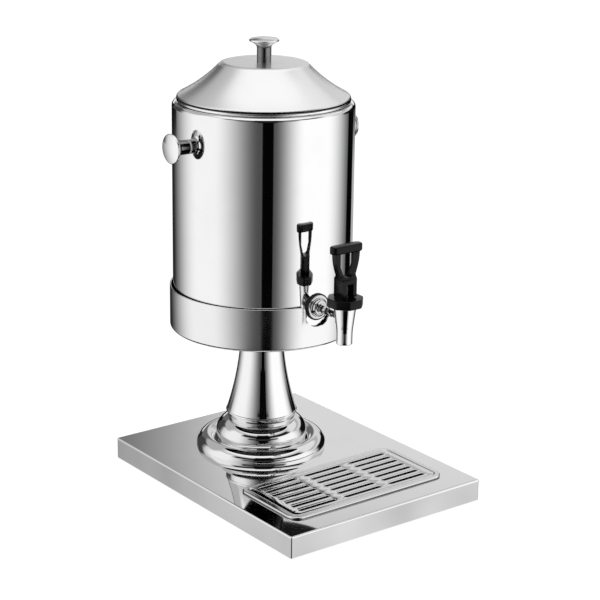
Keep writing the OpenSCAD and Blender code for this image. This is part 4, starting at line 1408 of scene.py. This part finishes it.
@dataclass
class Lever(Part):
    """The black lever with its finger hole and the bar on top."""

    foot_z: float = 248.0
    foot_drop: float = 4.2
    foot_steps: int = 8
    tip_angle: float = 30.0
    pin_z: float = 256.5
    hub: float = 18.0
    hub_top: float = 268.0
    hub_taper: float = 6.5
    blade_width: float = 33.0
    blade_depth: float = 7.6
    blade_over: float = 2.0
    finger_width: float = 20.5
    finger_drop: float = 32.5
    finger_over: float = 0.5
    finger_low: float = 0.32
    bar_z: float = 299.0
    bar_top: float = 308.0
    bar_size: tuple[float, float] = (42.0, 12.0)
    bar_corner: float = 5.88
    bar_edge: float = 1.8
    slot_width: float = 8.8
    slot_top: float = 264.3
    slot_back: float = 7.6
    slot_under: float = 5.0
    edge: float = 0.7

    def build(self) -> None:
        """Cut the lever from its front and side outlines, and set the bar on it."""
        lever = self._front_prism("tap_lever_moulding", self._front_outline(), self.hub)
        side = [Vector((-self.blade_width, TAP_Y + y, z)) for y, z in self._side_outline()]
        block = Bench.prism("side", side, Vector((2 * self.blade_width, 0, 0)))
        Bench.combine(lever, block, "INTERSECT")
        finger = self._front_prism("finger_cutter", self._finger_outline(), self.hub)
        Bench.combine(lever, finger, "DIFFERENCE")
        slot = self._front_prism("slot_cutter", self._slot_outline(), self.slot_back)
        Bench.combine(lever, slot, "DIFFERENCE")
        Bench.combine(lever, self._bar(), "UNION")
        Bench.tidy_flats(lever)
        Bench.soften(lever, self.edge, 3)
        self.hand_over(lever, "plastic", Slot.PLASTIC, "lever", "tap_lever")

    def _front_prism(self, name: str, outline: Outline, back: float) -> Piece:
        """Extrude an outline seen from the front.

        Args:
            name: Name of the new piece.
            outline: Points of X and Z, which start a hub's width before the pin.
            back: How far behind the pin the solid ends.

        Returns:
            The solid, in object mode.
        """
        points = [Vector((x, TAP_Y - self.hub, z)) for x, z in outline]
        return Bench.prism(name, points, Vector((0, self.hub + back, 0)))

    def _front_outline(self) -> Outline:
        """Return the outline seen from the front: hub, waist and spreading blade."""
        right = []
        for t in shares(CURVE_STEPS):
            half = self.hub / 2 + (self.blade_width - self.hub) / 2 * math.sin(t * math.pi / 2)
            right.append((half, self.hub_top + (self.bar_z - self.hub_top) * t))
        right.append((right[-1][0], self.bar_z + self.blade_over))
        left = [(-x, z) for x, z in reversed(right)]
        return [(-self.hub / 2, self.foot_z), (self.hub / 2, self.foot_z)] + right + left

    def _side_outline(self) -> Outline:
        """Return the outline seen from the side: rolling foot, hub and thin blade."""
        foot = []
        for t in shares(self.foot_steps):
            a = math.radians(self.tip_angle * t)
            h = self.pin_z - self.foot_z + self.foot_drop * a
            y = -h * math.sin(a) - self.foot_drop * math.cos(a)
            z = -h * math.cos(a) + self.foot_drop * math.sin(a)
            foot.append((max(y, -self.hub / 2), self.pin_z + z))
        half = self.blade_depth / 2
        front, back = [], []
        for t in shares(CURVE_STEPS):
            share = ease(t)
            z = self.hub_top + self.hub_taper * t
            front.append((-self.hub / 2 + (-half + self.hub / 2) * share, z))
            back.append((self.hub / 2 + (half - self.hub / 2) * share, z))
        top = self.bar_z + self.blade_over
        blade = front + [(-half, top), (half, top)] + back[::-1]
        return [(self.hub / 2, self.foot_z)] + foot + blade

    def _finger_outline(self) -> Outline:
        """Return the outline of the U-shaped finger hole."""
        half = self.finger_width / 2
        centre_z = self.bar_z - self.finger_drop + half
        shoulder_z = self.bar_z - self.finger_drop / 3 - self.finger_drop / 8
        top = self.bar_z + self.finger_over
        line = arc(0, centre_z, self.finger_low * self.finger_width, 200, 340, 16)
        return line + [(half, shoulder_z), (half, top), (-half, top), (-half, shoulder_z)]

    def _slot_outline(self) -> Outline:
        """Return the outline of the stem's slot, open to the front and below."""
        half = self.slot_width / 2
        low = self.foot_z - self.slot_under
        return [(-half, low), (half, low), (half, self.slot_top), (-half, self.slot_top)]

    def _bar(self) -> Piece:
        """Build the bar on top of the blade and return it."""
        start = Vector((0, TAP_Y, self.bar_z))
        bar = Bench.rounded_plate("bar", self.bar_size, self.bar_corner, start, 12)
        Bench.lift(self.bar_top - self.bar_z)
        Bench.close_up()
        Bench.soften(bar, self.bar_edge, 4)
        return bar


@dataclass
class Fittings(Part):
    """The pieces of the frame that stay as they are and get their finish; the stem and pin get
    steel painted near black as shade.
    """

    nodes: Mapping[str, Piece]

    def dress(self) -> None:
        """Give each piece that stays its material."""
        groups = {
            "plain": (
                "base_backing_disc", "base_standoffs", "base_underplate", "foot_screws",
                "tie_rod", "tie_rod_washers", "tie_rod_nuts", "side_knob_washers",
                "side_knob_screws", "tap_shank_nut", "return_spring", "lid_knob_washer",
                "lid_knob_screw",
            ),
            # Stem and pin take the steel painted near black as shade.
            "stem": ("valve_stem", "lever_pin"),
            "rubber": ("rubber_feet", "tap_outer_gasket", "tap_inner_gasket"),
            "silicone": ("side_knob_seals", "valve_seat_cup"),
            "pack": ("cooling_pack",),
        }
        for finish, names in groups.items():
            for name in names:
                self._paint(self.nodes[name], self.finishes[finish])
                LOG.info("%s: kept, finished as %s", name, finish)

    @staticmethod
    def _paint(node: Piece, material: Material) -> None:
        """Put a material on every slot of a node."""
        if not node.material_slots:
            node.data.materials.append(material)
        for place in node.material_slots:
            place.material = material


@dataclass(frozen=True)
class Panel:
    """A softbox or flag of the studio, placed by the angles that it is seen under.

    Attributes:
        name: What it is.
        left, right: Azimuths of its edges from the camera, in degrees.
        bottom, top: Elevations of its edges.
        light: Brightness on the display.
        side_fades: Widths over which it fades out beyond its left and right edges.
        end_fades: Widths over which it fades out below and above.
    """

    name: str
    left: float
    right: float
    bottom: float
    top: float
    light: float
    side_fades: tuple[float, float] = (2.0, 2.0)
    end_fades: tuple[float, float] = (3.0, 3.0)


PANELS = (
    Panel("left_softbox", -90, -66, -30, 40, 0.96, (62, 62), (3, 18)),
    Panel("right_softbox", 54, 86, -30, 44, 1.0, (42, 52), (3, 18)),
    Panel("back_strip", 153, 168, -30, -4, 0.66, (2, 14), (3, 6)),
    Panel("back_left_flag", -178, -156, -30, 12, 0.15, (8, 12)),
    Panel("back_right_flag", 133, 151, -30, 12, 0.02, (2, 2)),
    Panel("back_flag", 143, 217, -10, 11, 0.04, (4, 6), (3, 3)),
    Panel("back_card", 164, 196, 5, 11, 0.92, (5, 5), (2, 2)),
    Panel("back_wall", 120, 240, 15, 46, 0.84, (20, 20), (3, 14)),
    Panel("back_curtain", 110, 250, 27, 58, 0.7, (20, 20), (5, 8)),
    Panel("right_high_card", 95, 160, 34, 60, 0.9, (20, 14), (6, 6)),
    Panel("back_wall_end", 186, 214, 13, 26, 0.4, (7, 14), (3, 6)),
    Panel("high_wall", -100, 100, 48, 64, 0.78, (20, 20), (6, 6)),
    Panel("right_back_flag", 124, 146, -6, 12, 0.06, (12, 5), (4, 6)),
    Panel("left_back_flag", -150, -130, -6, 24, 0.25, (5, 16), (4, 6)),
    Panel("front_canopy", -50, 84, 34, 45, 0.1, (14, 16), (5, 5)),
    Panel("camera_side_high", -12, 22, 13, 62, 0.02, (4, 4), (3, 4)),
    Panel("camera_side", -6, 16, -2, 15, 0.02, (1.5, 1.5), (2, 2)),
    Panel("camera_card", -30, 40, 17.5, 24, 0.2, (8, 8), (2, 3)),
    Panel("floor_cloth", -180, 180, -90, -38, 0.1, (1, 1), (1, 4)),
    Panel("low_front_flag", -18, 28, -46, -26, 0.02, (5, 5), (4, 3)),
    Panel("front_flag", -0.8, 12.2, -60, 0, 0.015, (0.7, 0.7), (2, 2)),
    Panel("ceiling", -180, 180, 62, 90, 0.98, (1, 1), (12, 1)),
)
WHITE = (1.0, 1.0, 1.0, 1.0)


@dataclass
class Studio:
    """Floor, surrounding light and lamp of a plain white studio with dark flags."""

    camera_azimuth: float = -126.2
    level: float = 0.78
    room: float = 0.3
    strength: float = 1.1
    floor_size: float = 60.0
    floor_colour: tuple[float, float, float, float] = (0.9, 0.9, 0.9, 1.0)
    floor_roughness: float = 0.9
    floor_glow: float = 1.1
    floor_glow_share: float = 0.86
    lamp_place: tuple[float, float, float] = (-1.6, -1.2, 2.6)
    lamp_aim: tuple[float, float, float] = (0.0, 0.0, 0.2)
    lamp_size: float = 1.6
    lamp_power: float = 26.0

    def build(self) -> None:
        """Build the floor, the world and the lamp."""
        self._build_floor()
        self._build_world()
        self._build_lamp()
        bpy.context.scene.view_settings.view_transform = "Standard"

    def _build_floor(self) -> None:
        """Lay a pale floor that shows white and keeps the object's shadow."""
        Bench.deselect()
        bpy.ops.mesh.primitive_plane_add(size=self.floor_size, location=(0, 0, 0))
        floor = bpy.context.object
        floor.name = "studio_floor"
        surface = Surface("studio_floor")
        surface.set(
            Base_Color=self.floor_colour, Roughness=self.floor_roughness, Specular_IOR_Level=0.0
        )
        wiring = surface.wiring
        glow = wiring.add("ShaderNodeEmission", {"Color": WHITE, "Strength": self.floor_glow})
        seen = wiring.add("ShaderNodeLightPath").outputs["Is Camera Ray"]
        share = wiring.math("MULTIPLY", seen, self.floor_glow_share)
        mix = wiring.mix_shaders(share, surface.shader, glow)
        wiring.join(mix.outputs[0], surface.output.inputs["Surface"])
        floor.data.materials.append(surface.material)
        floor.visible_glossy = False
        floor.visible_transmission = False

    def _build_world(self) -> None:
        """Build the light: white to the camera, plain to matt surfaces, a studio to metal."""
        world = bpy.data.worlds.new("studio")
        bpy.context.scene.world = world
        world.use_nodes = True
        world.node_tree.nodes.clear()
        wiring = Wiring(world.node_tree)
        x, y, z = wiring.parts(wiring.add("ShaderNodeTexCoord").outputs["Generated"])
        angle = wiring.math("ARCTAN2", y, x)
        turned = wiring.math("SUBTRACT", angle, math.radians(self.camera_azimuth))
        azimuth = wiring.math("DIVIDE", turned, math.radians(1))
        height = wiring.math("DIVIDE", wiring.math("ARCSINE", z), math.radians(1))
        light: Socket | tuple[float, ...] = self._grey(self.room)
        for panel in PANELS:
            mask = self._mask(wiring, panel, azimuth, height)
            light = wiring.mix(mask, light, self._grey(panel.light))
            light.node.label = panel.name
        studio = wiring.add("ShaderNodeBackground", {"Color": light, "Strength": self.strength})
        plain = wiring.add("ShaderNodeBackground", {"Color": WHITE, "Strength": self.level})
        white = wiring.add("ShaderNodeBackground", {"Color": WHITE, "Strength": 1.0})
        path = wiring.add("ShaderNodeLightPath").outputs
        shiny = wiring.mix_shaders(path["Is Glossy Ray"], plain, studio)
        seen = wiring.math("MAXIMUM", path["Is Camera Ray"], path["Is Transmission Ray"])
        shown = wiring.mix_shaders(seen, shiny, white)
        wiring.add("ShaderNodeOutputWorld", {"Surface": shown.outputs[0]})

    @staticmethod
    def _grey(brightness: float) -> tuple[float, ...]:
        """Return the grey that a display shows with the given brightness."""
        return (*[linear(brightness)] * 3, 1.0)

    @staticmethod
    def _mask(wiring: Wiring, panel: Panel, azimuth: Socket, height: Socket) -> Socket:
        """Add the mask of one panel.

        Args:
            wiring: The world's wiring.
            panel: The panel.
            azimuth: Azimuth of the ray from the camera's, in degrees.
            height: Elevation of the ray in degrees.

        Returns:
            The mask, from 0 to 1.
        """
        bottom = wiring.fade(height, panel.bottom - panel.end_fades[0], panel.bottom)
        top = wiring.fade(height, panel.top + panel.end_fades[1], panel.top)
        along = wiring.math("MULTIPLY", bottom, top)
        half = (panel.right - panel.left) / 2
        if half >= HALF_TURN:
            return along
        turned = wiring.math("SUBTRACT", azimuth, panel.left + half)
        inputs = {0: turned, 1: HALF_TURN, 2: -HALF_TURN}
        away = wiring.add("ShaderNodeMath", inputs, operation="WRAP").outputs[0]
        left = wiring.fade(away, -half - panel.side_fades[0], -half)
        right = wiring.fade(away, half + panel.side_fades[1], half)
        return wiring.math("MULTIPLY", along, wiring.math("MULTIPLY", left, right))

    def _build_lamp(self) -> None:
        """Hang one soft lamp over the object, aimed at it."""
        lamp = bpy.data.lights.new("soft_key", "AREA")
        lamp.shape = "DISK"
        lamp.size = self.lamp_size
        lamp.energy = self.lamp_power
        made = bpy.data.objects.new("soft_key", lamp)
        place = Vector(self.lamp_place)
        made.location = place
        turn = (Vector(self.lamp_aim) - place).to_track_quat("-Z", "Y")
        made.rotation_euler = turn.to_euler()
        made.visible_glossy = False
        bpy.context.scene.collection.objects.link(made)


@dataclass
class Camera:
    """The camera at the photograph's place."""

    location: tuple[float, float, float] = (-1.1927, -1.5638, 0.8343)
    azimuth: float = -37.48
    elevation: float = 17.31
    roll: float = 0.80
    lens: float = 107.97
    sensor: float = 36.0
    clip_end: float = 100.0

    def build(self) -> None:
        """Set the camera up and make it the scene's own."""
        a = math.radians(self.azimuth)
        e = math.radians(self.elevation)
        turn = math.radians(self.roll)
        back = Vector((math.sin(a) * math.cos(e), -math.cos(a) * math.cos(e), math.sin(e)))
        right = Vector((math.cos(a), math.sin(a), 0))
        up = back.cross(right)
        rolled_right = math.cos(turn) * right + math.sin(turn) * up
        rolled_up = -math.sin(turn) * right + math.cos(turn) * up
        data = bpy.data.cameras.new("front_left_camera")
        data.lens = self.lens
        data.sensor_width = self.sensor
        data.clip_end = self.clip_end
        camera = bpy.data.objects.new("front_left_camera", data)
        turned = Matrix((rolled_right, rolled_up, back)).transposed().to_4x4()
        camera.matrix_world = Matrix.Translation(self.location) @ turned
        bpy.context.scene.collection.objects.link(camera)
        bpy.context.scene.camera = camera


def main() -> None:
    """Build the dispenser from the floor up, then the studio round it."""
    logging.basicConfig(level=logging.INFO, format="%(message)s")
    finishes = build_finishes()
    for part in (Base, DripTray, Pedestal, HolderCup, Container, Tap, Lever, Lid):
        part(finishes).build()
    Fittings(finishes, frame["nodes"]).dress()
    Studio().build()
    Camera().build()


if __name__ == "__main__":
    main()
